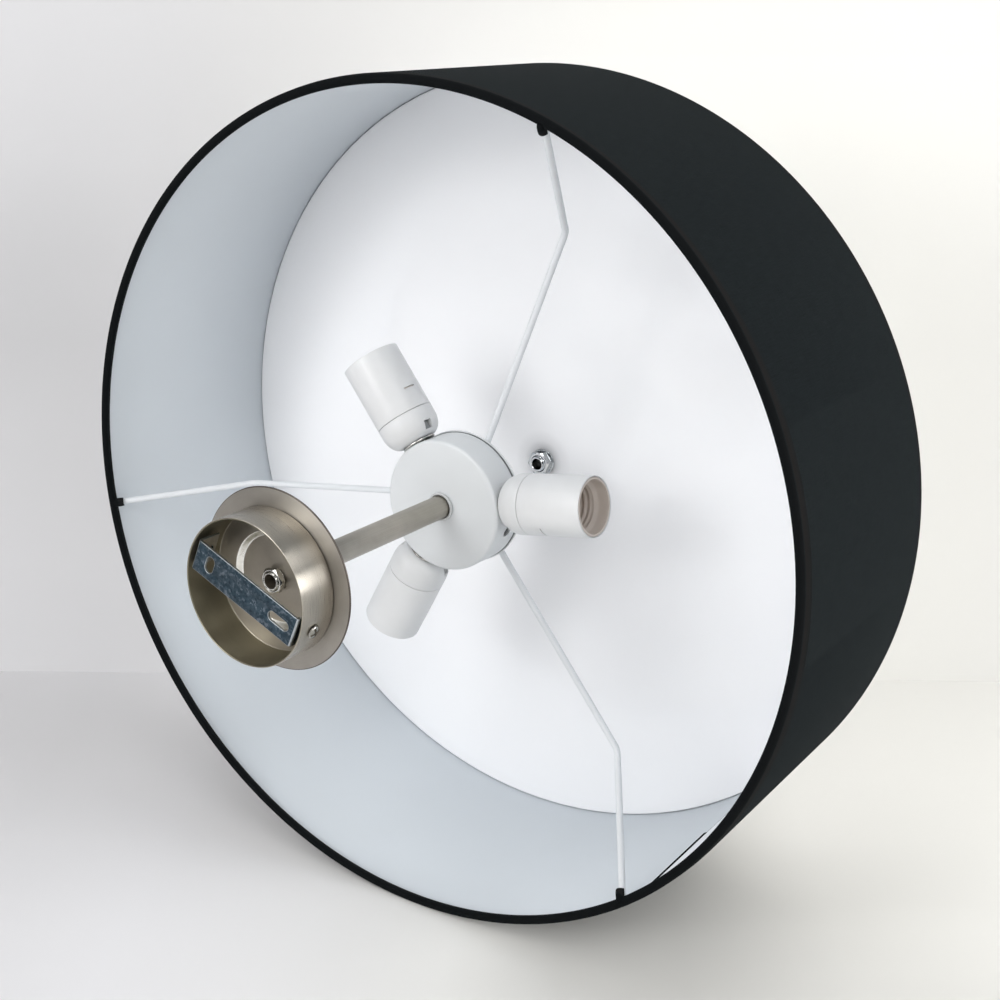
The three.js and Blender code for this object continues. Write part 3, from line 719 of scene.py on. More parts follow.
def build_strap():
    half, sheet, bend, leg = STRAP["half"], STRAP["sheet"], STRAP["bend"], STRAP["leg"]
    width = STRAP["half_width"]
    left, right = (-half + bend, -bend), (half - bend, -bend)
    outer = arc(left, (bend,) * 2, 180, 90, 8) + arc(right, (bend,) * 2, 90, 0, 8)
    inner = arc(right, (bend - sheet,) * 2, 0, 90, 6) + arc(left, (bend - sheet,) * 2, 90, 180, 6)
    outline = [(-half, -leg), *outer, (half, -leg), (half - sheet, -leg), *inner, (-half + sheet, -leg)]
    strap = prism("ceiling_strap", outline, -width, width, zinc)
    move(strap, spin(90, "X"))
    cross = prism("cutter", stadium(9.5, SLOT_WIDTH), -sheet - 1, 1, None)
    move(cross, Matrix.Translation((SLOT_X, 0, 0)) @ spin(90))
    long = prism("cutter", stadium(14, SLOT_WIDTH), -sheet - 1, 1, None)
    move(long, Matrix.Translation((-SLOT_X, 0, 0)))
    tapped = move(drill(SCREW_HOLE, -half - 1, half + 1), along_x(SCREW_LEVEL))
    cut(strap, cross, long, tapped)
    bevel(strap, 0.3)

    # Cut edges and slot walls, and the outer bends, where the pale finish is a painted highlight.
    def at_edge_or_lit_bend(centre, normal):
        in_slot = abs(abs(centre.x) - SLOT_X) < 7.2 and abs(centre.y) < 5 and centre.z > -2
        bent = abs(normal.x) > 0.35 and centre.x * normal.x > 0 and centre.z > -bend
        return abs(normal.y) > 0.3 or (in_slot and abs(normal.z) < 0.95) or bent

    refinish(strap, cut_edge_and_highlight, at_edge_or_lit_bend)
    # The legs' inner faces get painted light.
    refinish(strap, strap_leg_painted_light, lambda centre, normal: centre.z < -3 and normal.x * centre.x < 0)
    move(strap, Matrix.Translation((0, STRAP_SHIFT, 0)) @ spin(STRAP_TURN))
    settle(strap, "zinc_steel", "ceiling_bracket")


def stamped_step(above):
    """The two corners of the step that the cup and the plate share, at a height above the cup's outside."""
    radius = STEP_R - above * math.tan(math.pi / 8)
    return [(radius - STEP_DEPTH, CUP_BOSS + above, STEP_SOFT), (radius, CUP_FLOOR + above, STEP_SOFT)]


def finish_inside(cup):
    """Paints light into the cup. The slope of its stamped step gets a bright finish, a painted reflection.
    Its floor gets a paler one than the wall, painted light, and its inside a darker one, painted shade.
    """
    floor = CUP_FLOOR + CUP_SHEET
    for finish, test in (
        (nickel_step_reflection, lambda z, up, inwards: z < floor - 0.1 and 0.2 < inwards < 0.95),
        (nickel_floor_lit, lambda z, up, inwards: z < floor + 0.1 and up > 0.8),
        (nickel_inside_shade, lambda z, up, inwards: up > 0.3 or inwards > 0.3),
    ):
        def chosen(centre, normal):
            inside = centre.z > CUP_BOSS + 0.5 and centre.xy.length < CUP_R - 0.5
            return inside and test(centre.z, normal.z, -normal.xy.dot(centre.xy.normalized()))

        refinish(cup, finish, chosen)


def build_canopy():
    inner = CUP_R - CUP_SHEET
    cup = turned("canopy_cup_turned", [
        (ROD_HOLE, CUP_BOSS),
        *stamped_step(0),
        (CUP_R, CUP_FLOOR, CUP_CORNER),
        (CUP_R, 0, 0.4),
        (inner, 0, 0.4),
        (inner, CUP_FLOOR + CUP_SHEET, 0.6),
        *stamped_step(CUP_SHEET)[::-1],
        (ROD_HOLE, CUP_BOSS + CUP_SHEET),
    ], nickel_turned, 160, 5)
    cut(cup, move(drill(SCREW_HOLE, -CUP_R - 2, CUP_R + 2), along_x(SCREW_LEVEL)))
    finish_inside(cup)
    settle(cup, "brushed_nickel", "canopy_cup")

    drop = -CLEAR - PLATE_SHEET
    plate = turned("canopy_plate_turned", [
        (ROD_HOLE, PLATE_BOSS),
        *stamped_step(drop),
        (PLATE_R, CUP_FLOOR + drop, 0.5),
        (PLATE_R, CUP_FLOOR - CLEAR, 0.5),
        *stamped_step(-CLEAR)[::-1],
        (ROD_HOLE, CUP_BOSS - CLEAR),
    ], nickel_plate, 192, 5)
    # The plate's rim gets painted shade.
    refinish(plate, nickel_rim_shade, lambda centre, normal: centre.xy.length > PLATE_R - 0.45)
    settle(plate, "brushed_nickel", "canopy_plate")

    for number, azimuth in ((1, 180), (2, 0)):
        screw = pan_head_screw(f"canopy_screw_{number}")
        move(screw, lift(SCREW_LEVEL) @ spin(azimuth) @ spin(90, "Y") @ spin(20))
        settle(screw, "bright_steel", f"bracket_screw_{number}")


def pan_head_screw(name):
    """Pan-head screw along Z with a cross recess, its head's seat at the outside of the cup."""
    seat = CUP_R + CLEAR
    tip = seat - 11.0
    shank = 1.95
    head, height = 3.9, 1.9
    thread = thread_rows(shank, 0.35, 0.9, tip + 0.5, seat - 1.2, 8)
    dome = arc((0, seat + 0.5), (head, height - 0.5), 0, 90, 10)

    def section(angle):
        return [(0, tip), (shank - 0.6, tip), *thread(angle), (shank, seat), (head - 0.2, seat),
                (head, seat + 0.2), *dome]

    screw = swept(name, section, 48, screw_steel)
    reach, half, depth = 3.1, 0.65, 1.5
    recess = []
    for turn in (0, 90):
        bar = block((-reach, -half, seat + height - depth), (reach, half, seat + height + 1))
        recess.append(move(bar, spin(turn)))
    well = turned("cutter", [(0, seat + 0.3), (0.8, seat + 0.6), (1.1, seat + 4), (0, seat + 4)], None, 16)
    cut(screw, *recess, well)

    # The walls of the cross recess get painted shade.
    def in_recess(centre, normal):
        deep = seat + 0.35 < centre.z < seat + 1.5
        return deep and centre.xy.length < reach + 0.1 and abs(normal.z) < 0.3

    refinish(screw, recess_shade, in_recess)
    return screw


# ---- stem


def build_stem():
    sheet, reach, height, across = 0.7, 6.1, 3.4, 12.6
    washer_low = CUP_BOSS + CUP_SHEET + CLEAR
    nut_low = washer_low + sheet + 0.2
    washer = tube("top_washer", ROD_HOLE, reach, washer_low, washer_low + sheet, steel, 0.2)
    settle(washer, "bright_steel", "stem_washer_top")
    top_nut = nut("top_nut", nut_low, nut_low + height, steel, across)
    settle(top_nut, "bright_steel", "stem_nut_top")
    bore, in_stem = 3.8, 20
    rod_top = nut_low + height + 0.7
    top_rod = hollow_rod("top_rod", bore, STEM_TOP - in_stem, rod_top, steel, STEM_TOP + 1.2, rod_top - 0.5)
    # The rod's bore gets painted shade.
    refinish(top_rod, recess_shade, lambda centre, normal: centre.xy.length < bore + 0.15)
    settle(top_rod, "bright_steel", "stem_nipple_top")

    edges = (0.2, 0.5, 0.5, 0.2)
    stem = tube("stem_drawn", ROD_HOLE, STEM_R, STEM_BOTTOM, STEM_TOP, nickel_drawn, edges, 96, 4)
    settle(stem, "brushed_nickel", "stem_tube")

    inside, low = STEM_R + CLEAR, HUB_TOP + CLEAR
    collar = tube("stem_foot_collar", inside, inside + 1.3, low, low + 2, collar_plastic, 0.4)
    settle(collar, "white_plastic", "stem_collar")

    low = SPIDER_NUT_TOP - NUT_HEIGHT - PAST_NUT
    thread_top = -190
    foot = hollow_rod("bottom_rod", ROD_BORE, low, STEM_BOTTOM + in_stem, steel, low + 0.5, thread_top)
    settle(foot, "bright_steel", "stem_nipple_bottom")


# ---- hub


def build_hub():
    inner = HUB_R - HUB_SHEET
    can = turned("hub_can_drawn", [
        (ROD_HOLE, HUB_TOP - HUB_SHEET),
        (inner, HUB_TOP - HUB_SHEET, HUB_CORNER - HUB_SHEET),
        (inner, HUB_BOTTOM, 0.3),
        (HUB_R, HUB_BOTTOM, 0.3),
        (HUB_R, HUB_TOP, HUB_CORNER),
        (ROD_HOLE, HUB_TOP),
    ], white_paint, 160, 6)
    past = HUB_R + 2
    screw_line = spin(LID_SCREW_TURN) @ along_x(LID_SCREW_LEVEL)
    cutters = [move(drill(LID_SCREW_HOLE, -past, past), screw_line)]
    for azimuth, _ in HOLDERS.values():
        cutters.append(move(drill(ROD_HOLE, inner / 2, past), spin(azimuth) @ along_x(HOLDER_LEVEL)))
    cut(can, *cutters)
    settle(can, "white_paint", "hub_can")

    edge, gap = HUB_R + 0.85, HUB_R + 0.2
    lid = turned("hub_lid_pressed", [
        (ROD_HOLE, LID_BOTTOM, 0.2),
        (edge, LID_BOTTOM, 0.4),
        (edge, LID_TOP, 0.3),
        (gap, LID_TOP),
        (gap - 0.5, LID_TOP - 0.6),
        (ROD_HOLE, LID_TOP - 0.6),
    ], white_paint, 160)
    half, height = 5.0, 12.0
    tab_out = math.sqrt(inner**2 - half**2) - CLEAR
    for side in (-1, 1):
        low, high = sorted((side * tab_out, side * (tab_out - HUB_SHEET)))
        tab = box_piece("tab", (low, -half, LID_TOP - 0.9), (high, half, LID_TOP + height), white_paint)
        cut(lid, tab, operation="UNION")
    cut(lid, move(drill(LID_SCREW_HOLE - 0.1, -past, past), screw_line))
    # The lid's top face in the reveal is grey: painted shade in the gap.
    refinish(lid, shade_grey, lambda centre, normal: normal.z > 0.5 and centre.xy.length < gap)
    settle(lid, "white_paint", "hub_lid")

    radius, length, outer = 2.6, 5.1, HUB_R - 3.0
    for number, azimuth in ((1, 180 + LID_SCREW_TURN), (2, LID_SCREW_TURN)):
        screw = rod(f"hub_set_screw_{number}", radius, outer - length, outer, oxide, 0.3)
        cut(screw, move(block((-3, -0.35, outer - 1.2), (3, 0.35, outer + 1)), spin(25)))
        move(screw, lift(LID_SCREW_LEVEL) @ spin(azimuth) @ spin(90, "Y"))
        settle(screw, "black_oxide", f"lid_screw_{number}")


# ---- lampholders

HOLDER_R, HOLDER_BASE_R = 18.0, 9.8
DOME_CURVE, DOME_LENGTH = 11.5, 16.5
SHELL_LOW = DOME_LENGTH + CLEAR
SHELL_TOP = SHELL_LOW + 41.7
SHELL_WALL = 0.8
SOCKET_TOP = SHELL_TOP - 7.0
SOCKET_FLOOR = SOCKET_TOP - 23.0


def holder_matrix(azimuth, roll):
    """Where a lampholder stands: its own Z points outwards and its own X points up before the roll."""
    base = HUB_R + CLEAR + WASHER_SHEET + CLEAR
    place = lift(HOLDER_LEVEL) @ spin(azimuth) @ Matrix.Translation((base, 0, 0))
    return place @ spin(90, "Y") @ spin(180 + roll)


def holder_dome(name):
    """Domed base with a thread collar, a spigot for the shell and a grey block in each of its two windows,
    painted shade in the window.
    """
    spigot = HOLDER_R - SHELL_WALL - CLEAR
    spigot_end = DOME_LENGTH + 4
    inside = spigot - 1.5
    collar, collar_end = ROD_HOLE + 2.7, 8
    curve = arc((HOLDER_BASE_R, DOME_CURVE), (HOLDER_R - HOLDER_BASE_R, DOME_CURVE), -90, 0, 20)
    hollow = arc((collar, DOME_CURVE), (inside - collar, DOME_CURVE - 2), 0, -90, 14)
    dome = turned(name, [
        (ROD_HOLE, 0, 0.3),
        *curve,
        (HOLDER_R, DOME_LENGTH, 0.35),
        (spigot, DOME_LENGTH),
        (spigot, spigot_end, 0.3),
        (inside, spigot_end, 0.3),
        *hollow,
        (collar, collar_end),
        (ROD_HOLE, collar_end),
    ], white_plastic)
    half, low, high = 2.65, 2.5, 7.5
    cut(dome, *[block((-half, a, low), (half, b, high)) for a, b in ((-24, -8.3), (8.3, 24))])
    # Grey blocks fill the windows: painted shade.
    gap = 0.05
    window_shades = [
        box_piece("window_shade", (-half + gap, a, low + gap), (half - gap, b, high - gap), shade_grey)
        for a, b in ((-13.6, -9), (9, 13.6))
    ]
    dome.data.materials.append(shade_grey)
    for window_shade in window_shades:
        for face in window_shade.data.polygons:
            face.material_index = 1
    return join_mesh(dome, *window_shades)


def holder_shell(name):
    """Outer shell with the slit that frees its latch tongue."""
    inside = HOLDER_R - SHELL_WALL
    edges = (0.2, 0.35, 0.5, 0.3)
    shell = tube(name, inside, HOLDER_R, SHELL_LOW, SHELL_TOP, white_plastic, edges, 96, 4)
    top, half = SHELL_LOW + 13, 0.45
    left, right, length = -4.5, 3.8, 7
    middle = HOLDER_R - SHELL_WALL / 2
    low, high = middle - 2, middle + 2
    across = block((left, low, top - half), (right, high, top + half))
    down = block((right, HOLDER_R - 0.35, top - length), (right + 0.5, high, top + half))
    return cut(shell, across, down)


def holder_liner(name):
    """Threaded liner: a skirt, the round thread of the socket, its floor and the terminal body."""
    outside = HOLDER_R - SHELL_WALL - CLEAR
    bore, chamfer = 13.4, 1.8
    skirt, lip = 1.3, SHELL_TOP - 0.15
    within, soft = outside - skirt, 0.2
    floor, low = SOCKET_FLOOR, SOCKET_FLOOR - 3
    body, base = 12, low - 5
    pitch, depth = 3.62, 0.9
    thread = thread_rows(bore, depth, pitch, floor + 1.5, SOCKET_TOP - chamfer, 12)

    def section(angle):
        return [
            (0, base), (body, base), (body, low), (outside, low), (outside, lip - soft),
            (outside - soft, lip), (within + soft, lip), (within, lip - soft),
            (within, SOCKET_TOP + 0.5), (within - 0.5, SOCKET_TOP - 0.3),
            *thread(angle)[::-1], (bore, floor), (0, floor),
        ]

    return swept(name, section, 72, socket_plastic)


def centre_leaf(name):
    """Bent brass leaf on the socket floor."""
    low = SOCKET_FLOOR + CLEAR
    rise, sheet, half = 3.9, 0.5, 2.75
    under = [(-12.5, low), (-8.5, low), (-1.5, low + rise), (2.5, low + rise), (4.5, low + rise - 1)]
    outline = under + [(x, z + sheet) for x, z in reversed(under)]
    leaf = prism(name, outline, -half, half, brass)
    move(leaf, spin(90, "X"))
    return bevel(leaf, 0.12, 20)


def build_lampholders():
    washer = (ROD_HOLE, 10.5, -CLEAR - WASHER_SHEET, -CLEAR)
    for number, (azimuth, roll) in HOLDERS.items():
        place = holder_matrix(azimuth, roll)
        parts = [
            (holder_dome(f"holder_dome_{number}"), "white_plastic", "lampholder_dome"),
            (holder_shell(f"holder_shell_{number}"), "white_plastic", "lampholder_shell"),
            (holder_liner(f"holder_liner_{number}"), "socket_plastic", "lampholder_insert"),
            (centre_leaf(f"centre_leaf_{number}"), "spring_brass", "centre_contact"),
            (tube(f"base_washer_{number}", *washer, steel, 0.2), "bright_steel", "holder_washer"),
        ]
        for piece, slot, node in parts:
            body = f"contact_{number}" if node == "centre_contact" else "fixture"
            settle(move(piece, place), slot, f"{node}_{number}", body=body)


# ---- spider


def cloth_tab(name, low, high):
    """Tab of the hem's cloth that arches over an arm's end, along Z and open towards +X. puff is how much
    higher than wide it is, and half the angle that it spans to each side, in degrees."""
    radius, puff, half = ARM_R + CLEAR + FABRIC_SHEET, 1.3, 74
    verts, rows, steps = [], 14, 20
    for row in range(rows + 1):
        share = row / rows
        z = low + (high - low) * share
        swell = 1 + 0.06 * math.sin(math.pi * min(1.0, share * 1.3)) - 0.16 * max(0.0, share - 0.7) / 0.3
        lip = 0.25 if row in (0, rows) else 0.0
        outside = ((radius + puff) * swell - lip, radius * swell - lip)
        inside = (radius + puff - FABRIC_SHEET + lip / 2, radius - FABRIC_SHEET + lip / 2)
        ring = arc((0, 0), outside, 180 - half, 180 + half, steps)
        ring += arc((0, 0), inside, 180 + half, 180 - half, steps)
        verts += [(x, y, z) for x, y in ring]
    count = 2 * (steps + 1)
    wide, tall, sheet = 0.35 * MM, 0.6 * MM, FABRIC_SHEET * MM
    faces, uvs = skin(count, [i * wide for i in range(count + 1)], [row * tall for row in range(rows + 1)])
    for start in (0, rows * count):
        for i in range(steps):
            j = count - 1 - i
            faces.append((start + i, start + i + 1, start + j - 1, start + j))
            uvs += [(0, 0), (wide, 0), (wide, sheet), (0, sheet)]
    return mesh_piece(name, verts, faces, cloth, uvs)


def build_spider():
    washer = tube("spider_washer", ROD_HOLE, 16.0, SPIDER_BOTTOM, SPIDER_TOP, white_paint, 0.4)
    settle(washer, "white_paint", "spider_ring")
    low_nut = nut("spider_nut_turned", SPIDER_NUT_TOP - NUT_HEIGHT, SPIDER_NUT_TOP, steel)
    settle(low_nut, "bright_steel", "spider_nut")

    start, radius = 8.0, 9.0
    bend = Vector((178, ARM_LEVEL))
    ring = Vector((RING_R, RING_TOP))
    slope = (ring - bend).normalized()
    rise = math.atan2(slope.y, slope.x)
    centre = (bend.x - radius * math.tan(rise / 2), ARM_LEVEL + radius)
    end = ring - slope * (RING_WIRE + CLEAR)
    curve = arc(centre, (radius, radius), -90, math.degrees(rise) - 90, 12)
    path = [(start, ARM_LEVEL), *curve, tuple(end)]
    tab_start, tab_end = -HEM_R - CLEAR - 4.0, 1.2
    tilt = Matrix.Rotation(math.pi / 2 - rise, 4, "Y")
    for number, azimuth in ARM_AZIMUTHS.items():
        turn = spin(azimuth)
        # The arms carry the lighter copy of the white paint, painted light.
        arm = move(wire(f"arm_wire_{number}", path, ARM_R, arm_paint_lit), turn)
        settle(arm, "white_paint", f"spider_arm_{number}")
        tab = cloth_tab(f"cloth_tab_{number}", tab_start, tab_end)
        move(tab, turn @ Matrix.Translation((RING_R, 0, RING_TOP)) @ tilt)
        settle(tab, "black_fabric", f"hem_tab_{number}")


# ---- drum


def seam_rib():
    """The cloth's turned-in edge that fills the lining's seam. It stands proud above the disc's reach."""
    inside, outside = LINING_R - LINING_SHEET, DRUM_R - FABRIC_SHEET - 0.05
    behind, proud, half = inside + 0.1, inside - 0.9, 0.32
    profile = [(behind, LINING_BOTTOM), (behind, RIB_PROUD_FROM + 0.5)]
    profile += [(proud, RIB_PROUD_FROM + 4), (proud, LINING_TOP)]
    verts, faces = [], []
    for r, z in profile:
        verts += [(r, -half, z), (r, half, z), (outside, half, z), (outside, -half, z)]
    for row in range(len(profile) - 1):
        a, b = row * 4, row * 4 + 4
        faces += [(a + k, a + (k + 1) % 4, b + (k + 1) % 4, b + k) for k in range(4)]
    last = len(verts) - 4
    faces += [(0, 3, 2, 1), (last, last + 1, last + 2, last + 3)]
    uvs = [(verts[i][1] * MM, verts[i][2] * MM) for face in faces for i in face]
    rib = mesh_piece("rib", verts, faces, cloth, uvs)
    return move(rib, spin(SEAM_AZIMUTH))


def join_mesh(piece, *others):
    """Adds other pieces' meshes to a piece and deletes them."""
    bm = bmesh.new()
    bm.from_mesh(piece.data)
    for other in others:
        bm.from_mesh(other.data)
        bpy.data.objects.remove(other)
    bm.to_mesh(piece.data)
    bm.free()
    return piece


def bow(angle):
    """How far the pull of the cloth draws the upper ring inwards between two arms, in millimetres."""
    azimuth = math.degrees(angle)
    for start, depth in UPPER_BOWS:
        share = ((azimuth - start) % 360) / 120
        if share < 1:
            return depth * math.sin(math.pi * share) ** 1.4
    return 0.0


def build_drum():
    segments = 288
    for name, level, node, drawn in (
        ("upper_ring", RING_TOP, "ring_top", 1),
        ("lower_ring", RING_BOTTOM, "ring_bottom", 0),
    ):
        def wire_section(angle):
            return arc((RING_R - drawn * bow(angle), level), (RING_WIRE,) * 2, 0, 360, 16)[:-1]

        ring = swept(name, wire_section, segments, ring_paint)
        settle(ring, "ring_paint", node)

    outer, inner = HEM_R, HEM_R - FABRIC_SHEET
    shoulder = RING_TOP - HEM_R

    def hem(centre, level, radius, start, end):
        return arc((centre, level), (radius, radius), start, end, 24)

    def fabric_section(angle):
        centre = RING_R - bow(angle)
        return [
            *hem(RING_R, RING_BOTTOM, outer, -HEM_WRAP, 0),
            (DRUM_R, shoulder),
            *hem(centre, RING_TOP, outer, 0, HEM_WRAP),
            *hem(centre, RING_TOP, inner, HEM_WRAP, 0),
            (DRUM_R - FABRIC_SHEET, shoulder),
            *hem(RING_R, RING_BOTTOM, inner, 0, -HEM_WRAP),
        ]

    fabric = swept("drum_fabric", fabric_section, segments, cloth)
    notches = []
    depth, half = HEM_R + 1, ARM_R + CLEAR
    for azimuth in ARM_AZIMUTHS.values():
        notch = block((RING_R - depth, -half, RING_TOP - depth), (RING_R, half, RING_TOP + RING_WIRE))
        notches.append(move(notch, spin(azimuth)))
    cut(fabric, *notches)
    join_mesh(fabric, seam_rib())
    settle(fabric, "black_fabric", "shade_fabric")

    inside, seam = LINING_R - LINING_SHEET, 0.45
    sheet = tube("drum_lining", inside, LINING_R, LINING_BOTTOM, LINING_TOP, lining, 0.15, segments, 2)
    gap = block((LINING_R - 3, -seam, LINING_BOTTOM - 1), (LINING_R + 3, seam, LINING_TOP + 1))
    cut(sheet, move(gap, spin(SEAM_AZIMUTH)))
    settle(sheet, "lining_film", "shade_lining")


# ---- diffuser


def build_diffuser():
    disc = tube("opal_disc", ROD_HOLE, DISC_R, DISC_BOTTOM, DISC_TOP, opal, (0.3, 0.4, 1.1, 0.3), 288, 4)
    settle(disc, "opal_acrylic", "diffuser_disc", body="diffuser")
    washer_low = DISC_TOP + CLEAR
    nut_low = washer_low + WASHER_SHEET + CLEAR
    rod_top = nut_low + NUT_HEIGHT + PAST_NUT
    washer = tube("disc_washer", ROD_HOLE, WASHER_R, washer_low, washer_low + WASHER_SHEET, chrome, 0.3)
    settle(washer, "chrome", "diffuser_washer", body="diffuser")
    disc_nut = nut("disc_nut", nut_low, nut_low + NUT_HEIGHT, chrome)
    settle(disc_nut, "chrome", "diffuser_nut", body="diffuser")
    top, radius, height, rim, wall = DISC_BOTTOM - CLEAR, 11.0, 10.0, 2.5, 2.0
    floor = top - height + wall
    disc_rod = hollow_rod("disc_rod", 3.6, floor + CLEAR, rod_top, chrome, DISC_TOP, rod_top - 0.5)
    settle(disc_rod, "chrome", "diffuser_nipple", body="diffuser")
    finial = turned("finial_turned", [
        (0, floor),
        *arc((0, top - rim), (radius, height - rim), -90, 0, 20),
        (radius, top, 0.5),
        (ROD_HOLE, top),
        (ROD_HOLE, floor),
    ], nickel_turned)
    settle(finial, "brushed_nickel", "finial", body="diffuser")


# ---- camera, stage, light

RIGHT = Vector((-0.76418, -0.31323, -0.56383))
UP = Vector((0.52358, -0.81176, -0.25867))
AHEAD = Vector((0.37667, 0.49288, -0.78434))
EYE = Vector((-363.84, -457.76, 516.37)) * MM
LENS = 54.486
FLOOR_UP = Vector((0.38256, -0.92393, 0.0))
WALL_POINT = Vector((35.7, 285.4, -437.5)) * MM
WALL_ALONG = Vector((-0.779, -0.3225, -0.5376))
MIDDLE = Vector((0, 0, -0.2))
COOL, WARM = (1.0, 0.995, 1.01, 1.0), (1.0, 0.992, 0.955, 1.0)


def build_camera():
    data = bpy.data.cameras.new("camera")
    data.sensor_width, data.lens = 36.0, LENS
    data.clip_start, data.clip_end = 0.01, 50.0
    camera = add_object("camera", data)
    rows = Matrix((RIGHT, UP, -AHEAD)).transposed().to_4x4()
    rows.translation = EYE
    camera.matrix_world = rows
    bpy.context.scene.camera = camera


def greys(stops):
    """Ramp stops from (millimetres, tone), for a length in metres with 0.5 added to it."""
    return tones(*[(0.5 + place * MM, tone) for place, tone in stops])


def stage_finish(name, outwards, left, right, share, dip, glow):
    """Matt backdrop paint that only shows from its front, so that it hides nothing in other views. left
    and right are its tones by the distance along outwards, painted light and shade, share says how much
    of right there is by the distance along the wall, dip paints a shadow into it and glow is painted
    light that lifts it for the camera and in reflections alone."""
    made = Finish(name, Roughness=0.9, Specular_IOR_Level=0.1, Emission_Color=WARM)
    place = made.vector("SUBTRACT", made.position(), WALL_POINT)["Vector"]
    out, along = [
        made.plus(made.vector("DOT_PRODUCT", place, way)["Value"], 0.5) for way in (outwards, WALL_ALONG)
    ]
    cool = made.mix(1.0, made.ramp(out, *greys(left)), COOL, "MULTIPLY")
    warm = made.mix(1.0, made.ramp(out, *greys(right)), WARM, "MULTIPLY")
    both = made.mix(made.ramp(along, *greys(share)), cool, warm)
    made.color(made.mix(1.0, both, made.ramp(along, *greys(dip)), "MULTIPLY"))
    rays = made.node("LightPath").outputs
    seen = rays["Is Camera Ray"]
    for kind in ("Is Glossy Ray", "Is Transmission Ray"):
        seen = made.math("MAXIMUM", seen, rays[kind])
    lifted = made.times(made.ramp(out, *greys(glow)), made.span(along, 0.65, 0.7, 0.0, 1.0))
    made.links.new(made.times(lifted, seen), made.shader.inputs["Emission Strength"])
    back = made.node("NewGeometry").outputs["Backfacing"]
    clear = made.node("BsdfTransparent").outputs["BSDF"]
    mixer = made.node("MixShader", {0: back, 1: made.shader.outputs["BSDF"], 2: clear})
    output = made.nodes["Material Output"]
    made.links.new(mixer.outputs["Shader"], output.inputs["Surface"])
    return made.material


def build_stage():
    wall_out = FLOOR_UP.cross(WALL_ALONG).normalized() * -1
    reach = 6.0
    # The floor's dip is the drum's painted shadow, and its tones paint the fall of light across it.
    floor = stage_finish(
        "stage_floor", wall_out,
        left=((55, 0.75), (124, 0.75), (186, 0.78), (268, 0.82), (372, 0.81), (430, 0.78)),
        right=((37, 0.83), (254, 0.83), (359, 0.84), (400, 0.82), (420, 0.80)),
        share=((-220, 0.0), (-150, 0.22), (-100, 0.45), (-45, 0.8), (0, 1.0)),
        dip=((-330, 0.92), (-220, 1.0), (-20, 1.0), (48, 0.8), (86, 0.78), (120, 0.79), (187, 0.96),
             (215, 1.0)),
        glow=((37, 0.05), (172, 0.06), (254, 0.05), (330, 0.0), (380, 0.0)))
    # The wall's tones paint the fall of light across it.
    wall = stage_finish(
        "stage_wall", FLOOR_UP,
        left=((29, 0.70), (100, 0.70), (211, 0.65), (284, 0.60), (355, 0.61), (423, 0.65), (495, 0.65)),
        right=((29, 0.815), (211, 0.805), (284, 0.785), (355, 0.79), (423, 0.80), (495, 0.81), (520, 0.80)),
        share=((-330, 0.0), (-250, 0.1), (-190, 0.28), (-130, 0.42), (147, 1.0), (300, 1.0), (400, 0.85)),
        dip=((-400, 1.0), (400, 1.0)),
        glow=((0, 0.04), (29, 0.04), (100, 0.03), (211, 0.0)))
    for name, centre, outwards, normal, finish in (
        ("stage_floor", WALL_POINT + wall_out * reach, wall_out, FLOOR_UP, floor),
        ("stage_wall", WALL_POINT + FLOOR_UP * reach, FLOOR_UP, wall_out, wall),
    ):
        corners = [(-1, -1), (1, -1), (1, 1), (-1, 1)]
        verts = [(centre + WALL_ALONG * (a * reach) + outwards * (b * reach)) / MM for a, b in corners]
        plane = mesh_piece(name, verts, [(0, 1, 2, 3)], finish)
        if plane.data.polygons[0].normal.dot(normal) < 0:
            plane.data.flip_normals()


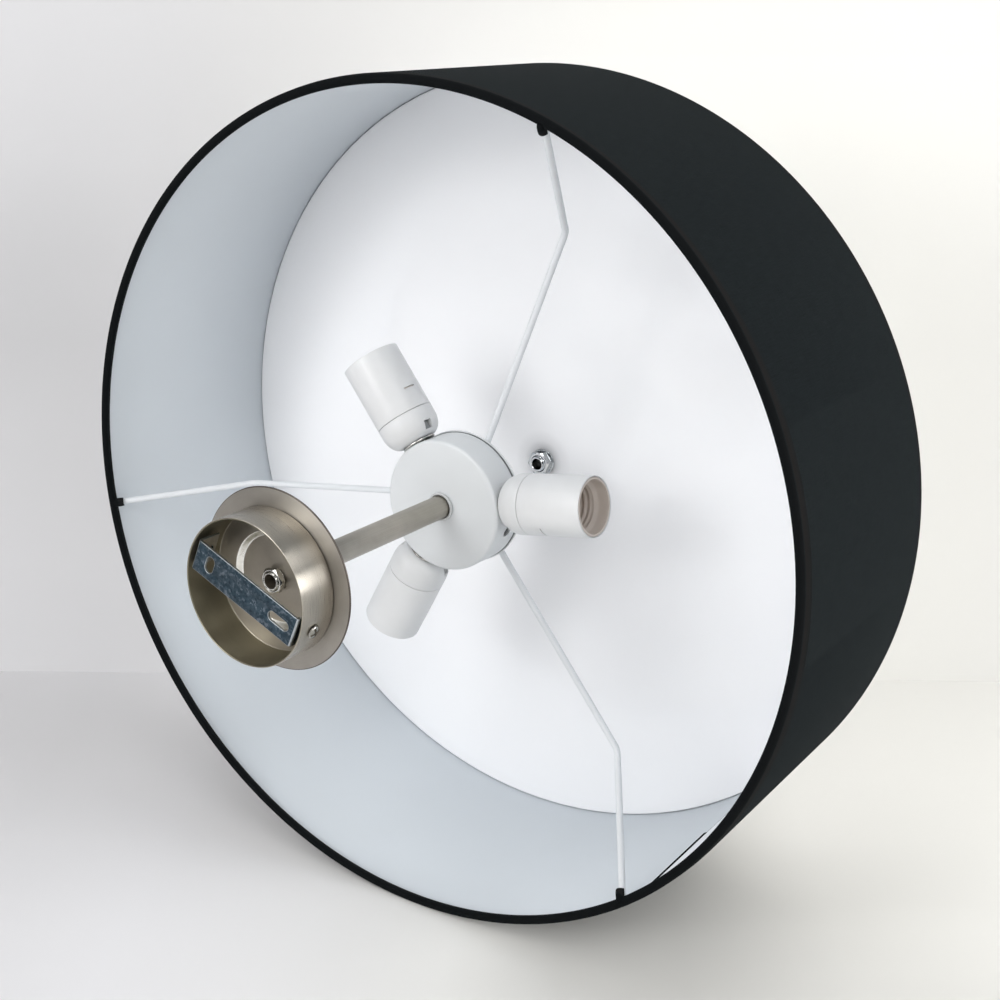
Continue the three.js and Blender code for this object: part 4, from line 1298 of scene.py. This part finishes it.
# Lamps of the studio: degrees to the right of the camera, degrees above the floor, width in metres, watts
LAMPS = (
    (-80, 40, 1.0, 4.24),
    (-50, 22, 0.6, 7.56),
    (-50, 10, 1.0, 7.14),
    (-45, 40, 1.0, 6.93),
    (-40, 70, 1.0, 4.24),
    (-34, 22, 0.6, 4.04),
    (-34, 6, 0.6, 2.38),
    (0, 22, 0.6, 3.21),
    (15, 40, 1.0, 8.18),
    (40, 10, 1.0, 6.42),
    (70, 10, 1.0, 21.32),
    (80, 40, 1.0, 7.45),
)
LAMP_DISTANCE = 2.2


def area_light(name, azimuth, rise, size, energy):
    """A soft round lamp, turned to the object."""
    towards = (-AHEAD - FLOOR_UP * (-AHEAD).dot(FLOOR_UP)).normalized()
    a, e = math.radians(azimuth), math.radians(rise)
    level = (RIGHT * math.sin(a) + towards * math.cos(a)) * math.cos(e)
    place = MIDDLE + (level + FLOOR_UP * math.sin(e)) * LAMP_DISTANCE
    data = bpy.data.lights.new(name, "AREA")
    data.shape = "DISK"
    data.size = size
    data.energy = energy
    lamp = add_object(name, data)
    lamp.location = place
    lamp.rotation_mode = "QUATERNION"
    lamp.rotation_quaternion = (MIDDLE - place).to_track_quat("-Z", "Y")


def build_light():
    world = bpy.data.worlds.new("studio")
    bpy.context.scene.world = world
    world.use_nodes = True
    background = world.node_tree.nodes["Background"]
    background.inputs["Color"].default_value = (0.97, 0.985, 1.0, 1.0)
    background.inputs["Strength"].default_value = 0.06
    for number, lamp in enumerate(LAMPS, 1):
        area_light(f"lamp_{number}", *lamp)


def finish_nodes():
    """Gives every CAD node that still shows its finish."""
    bright = (steel, "bright_steel")
    shown = {"terminal_block": (terminal_plastic, "white_plastic"), "stem_nut_bottom": bright}
    for number in HOLDERS:
        shown[f"holder_nipple_{number}"] = shown[f"holder_nut_{number}"] = bright
    for name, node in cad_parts.items():
        if not node.hide_render:
            finish, slot = shown[name]
            node.data.materials.clear()
            node.data.materials.append(finish)


build_strap()
build_canopy()
build_stem()
build_hub()
build_lampholders()
build_spider()
build_drum()
build_diffuser()
finish_nodes()
build_camera()
build_stage()
build_light()
